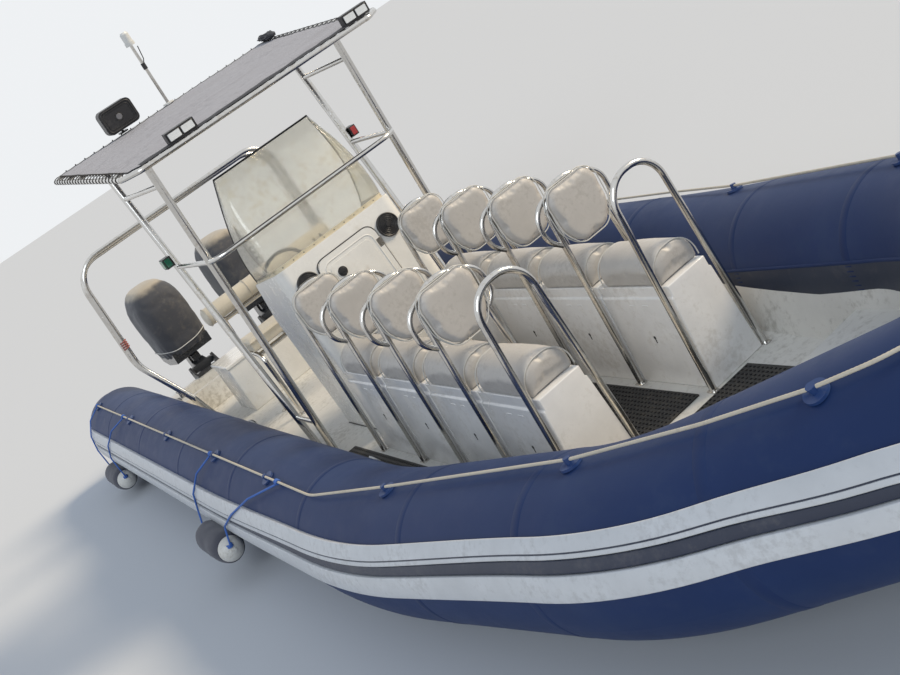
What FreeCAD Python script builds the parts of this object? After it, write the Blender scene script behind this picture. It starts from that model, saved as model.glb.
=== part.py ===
import math
import os

import FreeCAD
import Part

os.makedirs("parts", exist_ok=True)
doc = FreeCAD.newDocument("rib_boat")
sheet = doc.addObject("Spreadsheet::Sheet", "Sizes")

# Driving sizes in mm: name, value, what it is
SIZES = (
    ("tube_radius", 335, "radius of the inflated collar"),
    ("tube_y", 1185, "collar centre from the boat's centre plane"),
    ("tube_z", 430, "collar centre above the water"),
    ("strake_proud", 28, "how far the rubbing strake stands off the collar"),
    ("sole_z", 300, "deck above the water"),
    ("sole_thick", 12, "deck skin"),
    ("hoop_front_x", 2500, "front seat hoop"),
    ("seat_pitch", 555, "from one seat hoop to the next"),
    ("column_y", 410, "seat column from the centre plane"),
    ("hoop_radius", 16, "seat hoop tube radius"),
    ("hoop_foot_half", 185, "seat hoop half width at the deck"),
    ("hoop_top_half", 145, "seat hoop half width at its bend"),
    ("hoop_height", 1105, "seat hoops above the deck"),
    ("pod_foot_half", 163, "seat pod half width at the deck"),
    ("pod_top_half", 124, "seat pod half width at its top"),
    ("pod_height", 540, "seat pod above the deck"),
    ("pod_gap", 10, "between two pods in a row"),
    ("cushion_height", 150, "seat cushion"),
    ("cushion_half", 136, "seat cushion half width"),
    ("soft_gap", 0.3, "soft pieces stay clear of what carries them"),
    ("pad_thick", 50, "backrest pad"),
    ("pad_half", 165, "backrest pad half width"),
    ("pad_height", 318, "backrest pad"),
    ("grip_radius", 13, "grab handle tube radius"),
    ("grip_half", 222, "grab handles from the middle of their hoop"),
    ("console_half", 455, "console half width"),
    ("console_wall", 15, "console moulding"),
    ("screen_thick", 6, "windscreen sheet"),
    ("hatch_half", 222, "console hatch half width"),
    ("hatch_thick", 12, "console hatch"),
    ("speaker_radius", 76, "console speaker"),
    ("wheel_radius", 175, "steering wheel to the middle of its rim"),
    ("rim_radius", 12, "steering wheel rim"),
    ("leg_radius", 24, "canopy frame leg tube radius"),
    ("rail_radius", 16, "canopy frame rail tube radius"),
    ("brace_radius", 13, "canopy frame brace radius"),
    ("canopy_half", 935, "canopy half width"),
    ("canopy_tilt", 5.5, "canopy slope in degrees, its after end up"),
    ("canopy_thick", 8, "canopy cloth"),
    ("arch_radius", 21, "stern arch tube radius"),
    ("engine_y", 400, "outboard engine from the centre plane"),
    ("tilt_x", -3870, "engine tilt tube"),
    ("tilt_z", 540, "engine tilt tube above the water"),
    ("steer_x", -3925, "engine steering axis"),
    ("tilt_pin_radius", 16, "engine tilt tube radius"),
    ("run_clearance", 0.08, "radial play of a turning fit"),
    ("prop_radius", 195, "propeller"),
    ("fender_radius", 105, "fender"),
    ("line_radius", 6, "lifeline rope radius"),
)
for row, (alias, value, note) in enumerate(SIZES, 1):
    sheet.set("A%d" % row, alias)
    sheet.set("B%d" % row, str(value))
    sheet.set("C%d" % row, note)
    sheet.setAlias("B%d" % row, alias)
doc.recompute()


def size(alias):
    return float(sheet.get(alias))


def vec(x, y, z):
    return FreeCAD.Vector(x, y, z)


def box(x0, x1, y0, y1, z0, z1):
    return Part.makeBox(x1 - x0, y1 - y0, z1 - z0, vec(x0, y0, z0))


def flip(shape):
    return shape.mirror(vec(0, 0, 0), vec(0, 1, 0))


def both(shape):
    return [shape, flip(shape)]


def rod(start, end, radius):
    start, end = vec(*start), vec(*end)
    return Part.makeCylinder(radius, (end - start).Length, start, end - start)


def run(points, bends):
    """Lines through the points, with an arc of the given bend at each corner."""
    points = [vec(*p) for p in points]
    if not isinstance(bends, (list, tuple)):
        bends = [bends] * (len(points) - 2)
    edges = []
    last = points[0]
    for i, bend in enumerate(bends, 1):
        back = (points[i - 1] - points[i]).normalize()
        ahead = (points[i + 1] - points[i]).normalize()
        half = back.getAngle(ahead) / 2
        cut = bend / math.tan(half)
        middle = (back + ahead).normalize()
        centre = points[i] + middle * (bend / math.sin(half))
        first = points[i] + back * cut
        second = points[i] + ahead * cut
        if (first - last).Length > 0.01:
            edges.append(Part.LineSegment(last, first).toShape())
        edges.append(Part.Arc(first, centre - middle * bend, second).toShape())
        last = second
    if (points[-1] - last).Length > 0.01:
        edges.append(Part.LineSegment(last, points[-1]).toShape())
    return Part.Wire(edges)


def pipe(points, radius, bends):
    """Round tube along the run: cylinders, and a part of a torus at each bend."""
    pieces = []
    for edge in run(points, bends).OrderedEdges:
        start, end = [v.Point for v in edge.Vertexes]
        tangent = edge.tangentAt(edge.FirstParameter)
        if edge.Curve.TypeId == "Part::GeomLine":
            pieces.append(Part.makeCylinder(radius, edge.Length, start, end - start))
            continue
        curve = edge.Curve
        disc = Part.Face(Part.Wire([Part.makeCircle(radius, start, tangent)]))
        turn = math.degrees(edge.Length / curve.Radius)
        axis = (start - curve.Center).cross(tangent)
        pieces.append(disc.revolve(curve.Center, axis, turn))
    return fuse(pieces)


def outline(points):
    points = [vec(*p) for p in points]
    return Part.makePolygon(points + points[:1])


def loft(sections):
    return Part.makeLoft([outline(s) for s in sections], True, True)


def slab(points, y0, y1):
    """Side outline of (x, z) points, drawn out from y0 to y1."""
    face = Part.Face(outline([(x, y0, z) for x, z in points]))
    return face.extrude(vec(0, y1 - y0, 0))


def round_off(shape, radius, picks):
    edges = [e for e in shape.Edges if picks(e)]
    return shape.makeFillet(radius, edges)


def upright(edge):
    ends = edge.Vertexes
    if len(ends) < 2:
        return False
    d = ends[1].Point - ends[0].Point
    return abs(d.z) > 0.9 * d.Length


def add(name, pieces):
    shape = pieces
    if isinstance(pieces, (list, tuple)):
        shape = pieces[0] if len(pieces) == 1 else Part.makeCompound(list(pieces))
    feature = doc.addObject("Part::Feature", name)
    feature.Label = name
    feature.Shape = shape
    feature.Placement = FreeCAD.Placement()
    return feature


def fuse(pieces):
    return pieces[0].fuse(list(pieces[1:])) if len(pieces) > 1 else pieces[0]


# Inflated collar: two side tubes with closed tails and the bow piece
tube_r = size("tube_radius")
tube_y = size("tube_y")
tube_z = size("tube_z")
TAIL_X = -4350
SPLIT = 0.55
knee = (1750, tube_y, tube_z)
shoulder = (3650, tube_y - 275, tube_z + 230)
nose = (4760, 330, tube_z + 470)
split = tuple(k + (s - k) * SPLIT for k, s in zip(knee, shoulder))
side_path = [(TAIL_X, tube_y, tube_z), knee, split]
bow_path = [split, shoulder, nose]
bow_path += [(x, -y, z) for x, y, z in reversed(bow_path)]


def tail(radius):
    """Closed end of a side tube: a slight cone and a round cap."""
    rim = radius * 0.86
    aft = vec(-1, 0, 0)
    cone = Part.makeCone(radius, rim, 270, vec(TAIL_X, tube_y, tube_z), aft)
    cap = Part.makeSphere(rim, vec(TAIL_X - 270, tube_y, tube_z), aft, 0, 90, 360)
    return cone.fuse(cap)


SIDE_BENDS = [5000]
BOW_BENDS = [1900, 420, 420, 1900]
collar_port = fuse([pipe(side_path, tube_r, SIDE_BENDS), tail(tube_r)])
collar_bow = pipe(bow_path, tube_r, BOW_BENDS)
add("collar_port", collar_port)
add("collar_starboard", flip(collar_port))
add("collar_bow", collar_bow)
collar = [collar_port, flip(collar_port), collar_bow]

# Rubbing strake: a pale rib above and below a dark band, around the collar
strake_r = tube_r + size("strake_proud")
band_r = tube_r + size("strake_proud") * 0.55
BANDS = (
    # name, lower angle, upper angle, outer radius
    ("strake_ribs", (-6, 13), (7, 36), strake_r),
    ("strake_band", (7.4,), (12.6,), band_r),
)


def sector(low, high, outer, centre):
    def at(radius, angle):
        a = math.radians(angle)
        return centre + vec(0, radius * math.cos(a), radius * math.sin(a))
    middle = (low + high) / 2
    inner = tube_r + 0.2
    edges = [
        Part.Arc(at(inner, low), at(inner, middle), at(inner, high)).toShape(),
        Part.LineSegment(at(inner, high), at(outer, high - 2)).toShape(),
        Part.Arc(at(outer, high - 2), at(outer, middle), at(outer, low + 2)).toShape(),
        Part.LineSegment(at(outer, low + 2), at(inner, low)).toShape(),
    ]
    return Part.Wire(edges)


half_path = side_path[:-1] + [shoulder, nose, (nose[0], 0, nose[2])]
half_bends = SIDE_BENDS + BOW_BENDS[:2]


def sweep(wire, points, bends):
    """The closed outline carried along the run, straight by straight and arc by arc."""
    pieces = []
    for edge in run(points, bends).OrderedEdges:
        start, end = [v.Point for v in edge.Vertexes]
        face = Part.Face(wire)
        if edge.Curve.TypeId == "Part::GeomLine":
            pieces.append(face.extrude(end - start))
            wire = wire.translated(end - start)
            continue
        curve = edge.Curve
        turn = math.degrees(edge.Length / curve.Radius)
        axis = (start - curve.Center).cross(edge.tangentAt(edge.FirstParameter))
        pieces.append(face.revolve(curve.Center, axis, turn))
        wire = wire.copy()
        wire.rotate(curve.Center, axis, turn)
    return fuse(pieces)


for name, lows, highs, outer in BANDS:
    pieces = []
    for low, high in zip(lows, highs):
        ribbon = sweep(sector(low, high, outer, vec(*side_path[0])), half_path, half_bends)
        pieces.append(ribbon.fuse(flip(ribbon)))
    add(name, pieces)

# Hull: a deep V of flat plates up to the collar
HULL = (
    # x, keel z, chine y, chine z, collar y, collar z, side y, side z, sole y, sole z
    (-3750, -400, 960, -70, 1185, 430, 866, 500, 780, 288),
    (-500, -430, 980, -60, 1185, 430, 866, 500, 780, 288),
    (1700, -410, 960, -10, 1185, 430, 866, 500, 780, 288),
    (2900, -330, 800, 110, 1020, 570, 722, 600, 640, 288),
    (3800, -110, 520, 290, 875, 690, 560, 690, 480, 288),
    (4450, 240, 220, 500, 480, 830, 190, 800, 130, 500),
    (4760, 560, 50, 690, 200, 900, 60, 830, 20, 720),
)


def hull_section(row):
    x, keel, cy, cz, ty, tz, iy, iz, sy, sz = row
    half = [(cy, cz), (ty, tz), (iy, iz), (sy, sz)]
    ring = [(x, 0, keel)] + [(x, y, z) for y, z in half]
    return ring + [(x, -y, z) for y, z in reversed(half)]


hull = loft([hull_section(row) for row in HULL]).cut(collar)
add("hull", hull)

# Deck moulding: non-skid sole with sides up to the collar, and a bow step
sole_z = size("sole_z")
under = sole_z - size("sole_thick")
SOLE = (
    # x, sole half width, side half width, side top
    (-3240, 780, 866, 500),
    (-500, 780, 866, 500),
    (1700, 780, 866, 500),
    (2900, 640, 722, 600),
    (3800, 480, 560, 690),
)


def side_section(row):
    x, sy, iy, iz = row
    ring = [(sy - 12, sole_z), (iy - 10, iz + 6), (iy + 14, iz + 2), (iy, iz)]
    ring.append((sy, under))
    return [(x, y, z) for y, z in ring]


sole_plate = loft([
    [(x, -sy, under), (x, sy, under), (x, sy - 12, sole_z), (x, 12 - sy, sole_z)]
    for x, sy, iy, iz in SOLE
])
coaming = loft([side_section(row) for row in SOLE])
liner = fuse([sole_plate] + both(coaming)).cut(collar)
add("deck_liner", liner.removeSplitter())

STEP = (
    # x, foot height, half width at the foot, half width at the top, top height
    (3130, sole_z + 0.2, 600, 648, 470),
    (3800, sole_z + 0.2, 474, 520, 560),
    (4380, sole_z + 128, 190, 216, 660),
)
step = loft([
    [(x, -w, foot), (x, w, foot), (x, u, top), (x, -u, top)]
    for x, foot, w, u, top in STEP
])
step = step.cut(collar + [hull, liner])
add("bow_deck", max(step.Solids, key=lambda s: s.Volume))

# Walkway mats on the sole
MAT_THICK = 9
MATS = (
    # x0, x1, y0, y1
    (250, 2440, -185, 185),
    (2540, 3100, -430, 430),
    (-100, 2200, 632, 696),
    (-100, 2200, -696, -632),
)
mats = []
for i, (x0, x1, y0, y1) in enumerate(MATS):
    mat = doc.addObject("Part::Box", "Mat%d" % i)
    mat.Length = x1 - x0
    mat.Width = y1 - y0
    mat.Height = MAT_THICK
    mat.Placement.Base = vec(x0, y0, sole_z)
    mat.setExpression("Placement.Base.z", "Sizes.sole_z * 1mm")
    mats.append(mat)
mat_set = doc.addObject("Part::Compound", "floor_mats")
mat_set.Links = mats
mat_set.Label = "floor_mats"

# Seats: two rows of pods with saddle cushions between tube hoops
pitch = size("seat_pitch")
front_x = size("hoop_front_x")
column_y = size("column_y")
hoop_r = size("hoop_radius")
soft = size("soft_gap")
pad_t = size("pad_thick")
SEATS = 4
GRIP_DROP, GRIP_FLARE, GRIP_TOP, GRIP_END = 295, 62, 238, 102
pod_top = sole_z + size("pod_height")
for row_name, row_y in (("port", column_y), ("starboard", -column_y)):
    pods, cushions, hoops, pads = [], [], [], []
    for k in range(SEATS + 1):
        hoop_x = front_x - k * pitch
        tall = size("hoop_height")
        foot, top = size("hoop_foot_half"), size("hoop_top_half")
        crown = sole_z + tall - hoop_r
        hoop = pipe([
            (hoop_x, row_y - foot, sole_z + 3),
            (hoop_x, row_y - top, crown),
            (hoop_x, row_y + top, crown),
            (hoop_x, row_y + foot, sole_z + 3),
        ], hoop_r, top - 6)
        feet = [
            box(hoop_x - 30, hoop_x + 30, row_y + s * foot - 18, row_y + s * foot + 18,
                sole_z + 0.2, sole_z + 6)
            for s in (-1, 1)
        ]
        pieces = [hoop] + feet
        if 0 < k < SEATS:
            low = sole_z + tall - GRIP_DROP
            reach = foot + (top - foot) * (low - sole_z) / (tall - hoop_r)
            wide = size("grip_half")
            pieces += [
                pipe([
                    (hoop_x, row_y + s * reach, low),
                    (hoop_x, row_y + s * wide, low + GRIP_FLARE),
                    (hoop_x, row_y + s * wide, low + GRIP_TOP),
                    (hoop_x, row_y + s * GRIP_END, low + GRIP_TOP + 3),
                ], size("grip_radius"), [100, 106])
                for s in (-1, 1)
            ]
        hoops.append(fuse(pieces))
        if k:
            wide = size("pad_half")
            x0 = hoop_x + hoop_r + soft
            high = sole_z + tall - 14
            base = high - size("pad_height")
            ring = [
                (x0, row_y - 92, base), (x0, row_y + 92, base),
                (x0, row_y + wide - 6, base + 96), (x0, row_y + wide, high - 54),
                (x0, row_y + wide - 44, high), (x0, row_y - wide + 44, high),
                (x0, row_y - wide, high - 54), (x0, row_y - wide + 6, base + 96),
            ]
            pad = Part.Face(outline(ring)).extrude(vec(pad_t, 0, 0))
            along = lambda e: abs(e.tangentAt(e.FirstParameter).x) > 0.9
            pads.append(round_off(pad, 45, along))
    for k in range(SEATS):
        x1 = front_x - k * pitch - size("pod_gap") / 2
        x0 = front_x - (k + 1) * pitch + size("pod_gap") / 2
        if k == 0:
            x1 = front_x + 4
        wide, slim = size("pod_foot_half"), size("pod_top_half")
        pod = loft([
            [(x, row_y - wide, sole_z), (x, row_y + wide, sole_z),
             (x, row_y + slim + 10, pod_top - 60), (x, row_y + slim, pod_top - 55),
             (x, row_y + slim, pod_top), (x, row_y - slim, pod_top),
             (x, row_y - slim, pod_top - 55), (x, row_y - slim - 10, pod_top - 60)]
            for x in (x0, x1)
        ])
        pods.append(pod)
        back = front_x - (k + 1) * pitch + hoop_r + pad_t + soft + 4
        nose_x = front_x - k * pitch - hoop_r - 8
        half = size("cushion_half")
        base, eave = pod_top + soft, pod_top + 34
        low_left, high_left = vec(back, row_y - half, base), vec(back, row_y - half, eave)
        low_right, high_right = vec(back, row_y + half, base), vec(back, row_y + half, eave)
        ridge = vec(back, row_y, pod_top + size("cushion_height"))
        arch_face = Part.Face(Part.Wire([
            Part.LineSegment(low_right, low_left).toShape(),
            Part.LineSegment(low_left, high_left).toShape(),
            Part.Arc(high_left, ridge, high_right).toShape(),
            Part.LineSegment(high_right, low_right).toShape(),
        ]))
        seat = arch_face.extrude(vec(nose_x - back, 0, 0))
        rims = lambda e: e.Curve.TypeId == "Part::GeomCircle"
        cushions.append(round_off(seat, 12, rims))
    add("seat_pods_" + row_name, pods)
    add("seat_cushions_" + row_name, cushions)
    add("seat_hoops_" + row_name, hoops)
    add("backrest_pads_" + row_name, pads)

# Console: hollow moulding, raked face with a hatch opening, sloping dash aft
half = size("console_half")
wall = size("console_wall")
FACE_FOOT = (120, sole_z)
FACE_TOP = (-15, 1478)
BROW = (-520, 1418)
DASH_FOOT = (-600, 1150)
AFT_FOOT = (-560, sole_z)
console = slab([FACE_FOOT, FACE_TOP, BROW, DASH_FOOT, AFT_FOOT], -half, half)
front_corner = lambda e: upright(e) and e.CenterOfMass.x > 0
console = round_off(console, 70, front_corner)
hollow = slab([
    (FACE_FOOT[0] - wall, sole_z - 1), (FACE_TOP[0] - wall, FACE_TOP[1] - wall),
    (BROW[0] + wall, BROW[1] - wall), (DASH_FOOT[0] + wall, DASH_FOOT[1]),
    (AFT_FOOT[0] + wall, sole_z - 1),
], wall - half, half - wall)
hollow = round_off(hollow, 55, front_corner)
hatch_half = size("hatch_half")
HATCH_LOW, HATCH_HIGH = 800, 1395
lip = 20
doorway = box(-150, 160, lip - hatch_half, hatch_half - lip, HATCH_LOW + lip, HATCH_HIGH - lip)
console = console.cut([hollow, doorway])
add("console", console)

# Console hatch: a flat panel on the raked face, hung on its port edge
rake = (FACE_TOP[0] - FACE_FOOT[0]) / (FACE_TOP[1] - FACE_FOOT[1])
rake_turn = math.degrees(math.atan(rake))


def on_face(z, off):
    """Point (x, z) on the console's front face at height z, held off it."""
    x = FACE_FOOT[0] + (z - sole_z) * rake
    lean = math.radians(rake_turn)
    return x + off * math.cos(lean), z - off * math.sin(lean)


body = doc.addObject("PartDesign::Body", "console_hatch")
body.Label = "console_hatch"
sketch = body.newObject("Sketcher::SketchObject", "HatchOutline")
plane = [f for f in body.Origin.OriginFeatures if f.Role == "XY_Plane"][0]
sketch.AttachmentSupport = [(plane, "")]
sketch.MapMode = "FlatFace"
high_half = (HATCH_HIGH - HATCH_LOW) / 2
corners = [(-hatch_half, -high_half), (hatch_half, -high_half),
           (hatch_half, high_half), (-hatch_half, high_half)]
for a, b in zip(corners, corners[1:] + corners[:1]):
    sketch.addGeometry(Part.LineSegment(vec(a[0], a[1], 0), vec(b[0], b[1], 0)), False)
doc.recompute()
panel = body.newObject("PartDesign::Pad", "HatchPanel")
panel.Profile = sketch
panel.setExpression("Length", "Sizes.hatch_thick * 1mm")
doc.recompute()
corner_edges = ["Edge%d" % i for i, e in enumerate(panel.Shape.Edges, 1)
                if abs(e.tangentAt(e.FirstParameter).z) > 0.9]
rounded = body.newObject("PartDesign::Fillet", "HatchCorners")
rounded.Base = (panel, corner_edges)
rounded.Radius = 70
panel.Visibility = False
doc.recompute()
mid_x, mid_z = on_face((HATCH_LOW + HATCH_HIGH) / 2, soft)
lay_flat = FreeCAD.Rotation(vec(0, 1, 0), rake_turn + 90)
spin = FreeCAD.Rotation(vec(0, 0, 1), 90)
body.Placement = FreeCAD.Placement(vec(mid_x, 0, mid_z), lay_flat * spin)

# Windscreen: clear sheet that wraps back along both sides
SCREEN_FOOT = ((-500, 440), (-150, 436), (-80, 422), (-45, 385), (-36, 320))
SCREEN_HEAD = ((-262, 366), (-250, 362), (-243, 352), (-239, 338), (-236, 300))
screen_t = size("screen_thick")


def screen_section(points, level, slope):
    outer = list(points) + [(x, -y) for x, y in reversed(points)]
    inner = [(x - screen_t * (0.2 + 0.8 * i / 4), y - screen_t * (1 - 0.9 * i / 4))
             for i, (x, y) in enumerate(points)]
    inner = inner + [(x, -y) for x, y in reversed(inner)]
    ring = outer + list(reversed(inner))
    return [(x, y, level + (x - FACE_TOP[0]) * slope) for x, y in ring]


brow_slope = (BROW[1] - FACE_TOP[1]) / (BROW[0] - FACE_TOP[0])
screen = loft([
    screen_section(SCREEN_FOOT, FACE_TOP[1] + 0.2, brow_slope),
    screen_section(SCREEN_HEAD, 2124, 0),
])
add("windscreen", screen)

# Console fittings: two speakers, a dash panel, throttle and side bracket
speakers = []
for y in (-318, 318):
    x, z = on_face(1321, 0.1)
    x1, z1 = on_face(1321, 14)
    speakers.append(rod((x, y, z), (x1, y, z1), size("speaker_radius")))
add("console_speakers", speakers)

dash_lean = math.atan2(BROW[0] - DASH_FOOT[0], BROW[1] - DASH_FOOT[1])


def on_dash(share, off):
    x = DASH_FOOT[0] + (BROW[0] - DASH_FOOT[0]) * share
    z = DASH_FOOT[1] + (BROW[1] - DASH_FOOT[1]) * share
    return x - off * math.cos(dash_lean), z + off * math.sin(dash_lean)


dash = slab([on_dash(0.1, 0.1), on_dash(0.92, 0.1), on_dash(0.92, 10), on_dash(0.1, 10)],
            -380, 380)
wheel_y = -200
helm_low, helm_high = on_dash(0.5, 10), on_dash(0.5, 62)
helm_post = rod((helm_low[0], wheel_y, helm_low[1]), (helm_high[0], wheel_y, helm_high[1]), 34)
throttle = fuse([
    slab([on_dash(0.2, 10), on_dash(0.75, 10), on_dash(0.68, 62), on_dash(0.27, 62)], 90, 170),
    slab([on_dash(0.45, 55), on_dash(0.55, 55), on_dash(0.75, 190), on_dash(0.65, 190)], 96, 108),
    slab([on_dash(0.45, 55), on_dash(0.55, 55), on_dash(0.75, 190), on_dash(0.65, 190)], 152, 164),
])
add("dash_panel", fuse([dash, helm_post, throttle]))

# Steering wheel: rim, three spokes and a hub on the helm shaft
hub_low, hub_high = on_dash(0.5, 62.3), on_dash(0.5, 130)
axis = vec(hub_high[0] - hub_low[0], 0, hub_high[1] - hub_low[1]).normalize()
hub_at = vec(hub_low[0], wheel_y, hub_low[1])
rim_at = hub_at + axis * 50
wheel_pieces = [
    Part.makeCylinder(30, 58, hub_at, axis),
    Part.makeTorus(size("wheel_radius"), size("rim_radius"), rim_at, axis),
]
cross = axis.cross(vec(0, 1, 0))
for turn in (90, 210, 330):
    a = math.radians(turn)
    out = vec(0, 1, 0) * math.cos(a) + cross * math.sin(a)
    wheel_pieces.append(Part.makeCylinder(8, size("wheel_radius"), rim_at - axis * 12, out))
add("steering_wheel", fuse(wheel_pieces))

# Canopy frame: four legs, cross rails, a grab rail around the windscreen
leg_r = size("leg_radius")
rail_r = size("rail_radius")
FRONT_FOOT, FRONT_HEAD = (-215, 726), (-40, 706)
REAR_FOOT, REAR_HEAD = (-500, 726), (-880, 736)
head_z = 2388
foot_z = sole_z + 3
leg_low = foot_z + 4
hoop_z = head_z + 42
CANOPY_FRONT, CANOPY_AFT = 300, -1540
CAP_THICK = 16
CAP_PROUD = 8
RAIL_Z = 1766
slope = math.radians(size("canopy_tilt"))


def leg_at(foot, head, z):
    share = (z - foot_z) / (head_z - foot_z)
    return (foot[0] + (head[0] - foot[0]) * share, foot[1] + (head[1] - foot[1]) * share)


def leg_top(foot, head):
    """Height at which a leg meets the canopy brace above it."""
    top = head_z
    for step in range(6):
        brace_z = hoop_z + (CANOPY_FRONT - leg_at(foot, head, top)[0]) * math.tan(slope)
        top = brace_z - size("brace_radius") - size("soft_gap")
    return top


def sloped(shape):
    """A canopy piece drawn level, turned about the canopy's front edge."""
    turned = shape.copy()
    turned.rotate(vec(CANOPY_FRONT, 0, hoop_z), vec(0, 1, 0), size("canopy_tilt"))
    return Part.makeCompound([turned])


frame = []
brace_x = []
for side in (1, -1):
    for foot, head in ((FRONT_FOOT, FRONT_HEAD), (REAR_FOOT, REAR_HEAD)):
        top = leg_top(foot, head)
        low, high = leg_at(foot, head, leg_low), leg_at(foot, head, top - CAP_PROUD)
        frame.append(rod((low[0], side * low[1], leg_low), (high[0], side * high[1], top - CAP_PROUD), leg_r))
        frame.append(Part.makeCylinder(38, 8, vec(foot[0], side * foot[1], sole_z + 0.2)))
        frame.append(Part.makeCylinder(leg_r - 3, CAP_THICK, vec(high[0], side * high[1], top - CAP_THICK)))
        if side > 0:
            brace_x.append(CANOPY_FRONT - (CANOPY_FRONT - high[0]) / math.cos(slope))
    for level in (2290, 560):
        a = leg_at(FRONT_FOOT, FRONT_HEAD, level)
        b = leg_at(REAR_FOOT, REAR_HEAD, level)
        frame.append(rod((a[0], side * a[1], level), (b[0], side * b[1], level), rail_r))
rail_front = leg_at(FRONT_FOOT, FRONT_HEAD, RAIL_Z)
rail_rear = leg_at(REAR_FOOT, REAR_HEAD, RAIL_Z)
frame.append(pipe([
    (rail_rear[0], -rail_rear[1], RAIL_Z), (rail_front[0] + 110, -rail_front[1] - 4, RAIL_Z),
    (rail_front[0] + 110, rail_front[1] + 4, RAIL_Z), (rail_rear[0], rail_rear[1], RAIL_Z),
], rail_r, 130))
add("canopy_legs", fuse(frame))

edge = size("canopy_half") - rail_r
BEVEL = 100
rim_points = [
    (CANOPY_FRONT - BEVEL, edge, hoop_z), (CANOPY_FRONT, edge - BEVEL, hoop_z),
    (CANOPY_FRONT, BEVEL - edge, hoop_z), (CANOPY_FRONT - BEVEL, -edge, hoop_z),
]
SEAM = -300
hoop = [pipe([(SEAM, edge, hoop_z)] + rim_points + [(SEAM, -edge, hoop_z)], rail_r, 60)]
hoop.append(pipe([(SEAM, -edge, hoop_z), (CANOPY_AFT, -edge, hoop_z), (CANOPY_AFT, edge, hoop_z),
                  (SEAM, edge, hoop_z)], rail_r, 110))
for x in (brace_x[0], brace_x[1], (brace_x[1] + CANOPY_AFT) / 2):
    hoop.append(rod((x, -edge, hoop_z), (x, edge, hoop_z), size("brace_radius")))
add("canopy_frame", sloped(fuse(hoop)))

cloth_z = hoop_z + rail_r + soft
cloth = Part.Face(outline([
    (CANOPY_FRONT + 7 - BEVEL, edge + 12, cloth_z), (CANOPY_FRONT + 12, edge + 7 - BEVEL, cloth_z),
    (CANOPY_FRONT + 12, BEVEL - 7 - edge, cloth_z), (CANOPY_FRONT + 7 - BEVEL, -edge - 12, cloth_z),
    (CANOPY_AFT - 12, -edge - 12, cloth_z), (CANOPY_AFT - 12, edge + 12, cloth_z),
])).extrude(vec(0, 0, size("canopy_thick")))
add("canopy_cloth", sloped(cloth))

# Canopy fittings: two lamp bars, a loudhailer, a mast light and side lights
cloth_top = cloth_z + size("canopy_thick") + soft
lamps = []
for y in (-510, 757):
    lamp = box(CANOPY_FRONT - 66, CANOPY_FRONT - 16, y - 95, y + 95, cloth_top, cloth_top + 62)
    lamps.append(sloped(lamp))
add("lamp_bars", lamps)
HORN_X, HORN_Y = CANOPY_AFT + 140, -340
HORN_HALF, HORN_LOW, HORN_HIGH = 125, 32, 204
horn_mid = cloth_top + (HORN_LOW + HORN_HIGH) / 2
horn_face = box(HORN_X - 40, HORN_X + 40, HORN_Y - HORN_HALF, HORN_Y + HORN_HALF,
                cloth_top + HORN_LOW, cloth_top + HORN_HIGH)
horn_face = round_off(horn_face, 36, lambda e: abs(e.tangentAt(e.FirstParameter).x) > 0.9)
horn_back = loft([
    [(x, HORN_Y - h, horn_mid - h), (x, HORN_Y + h, horn_mid - h),
     (x, HORN_Y + h, horn_mid + h), (x, HORN_Y - h, horn_mid + h)]
    for x, h in ((HORN_X - 39, 80), (HORN_X - 150, 40))
])
horn_post = Part.makeCylinder(9, HORN_LOW + 4, vec(HORN_X - 105, HORN_Y, cloth_top))
horn_foot = box(HORN_X - 135, HORN_X - 75, HORN_Y - 30, HORN_Y + 30, cloth_top, cloth_top + 10)
horn_neck = box(HORN_X - 125, HORN_X - 85, HORN_Y - 20, HORN_Y + 20,
                cloth_top + HORN_LOW, cloth_top + HORN_LOW + 50)
add("loudhailer", sloped(fuse([horn_face, horn_back, horn_post, horn_foot, horn_neck])))
MAST_X, MAST_Y, MAST_TALL = CANOPY_AFT + 60, 30, 450
mast = [
    Part.makeCylinder(40, 8, vec(MAST_X, MAST_Y, cloth_top)),
    Part.makeCylinder(11, MAST_TALL, vec(MAST_X, MAST_Y, cloth_top + 7)),
    Part.makeCylinder(34, 26, vec(MAST_X, MAST_Y, cloth_top + MAST_TALL)),
    Part.makeCylinder(30, 60, vec(MAST_X, MAST_Y, cloth_top + MAST_TALL + 25)),
    Part.makeCone(30, 22, 14, vec(MAST_X, MAST_Y, cloth_top + MAST_TALL + 84)),
]
add("mast_light", sloped(fuse(mast)))
side_lights = []
for side in (1, -1):
    x, y = leg_at(REAR_FOOT, REAR_HEAD, RAIL_Z + 60)
    body_at = box(x - 45, x + 45, y + leg_r - 4, y + leg_r + 46, RAIL_Z + 25, RAIL_Z + 95)
    body_at = body_at.cut(rod((REAR_FOOT[0], REAR_FOOT[1], foot_z),
                              (REAR_HEAD[0], REAR_HEAD[1], head_z), leg_r + 0.2))
    side_lights.append(body_at if side > 0 else flip(body_at))
add("side_lights", side_lights)

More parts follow.
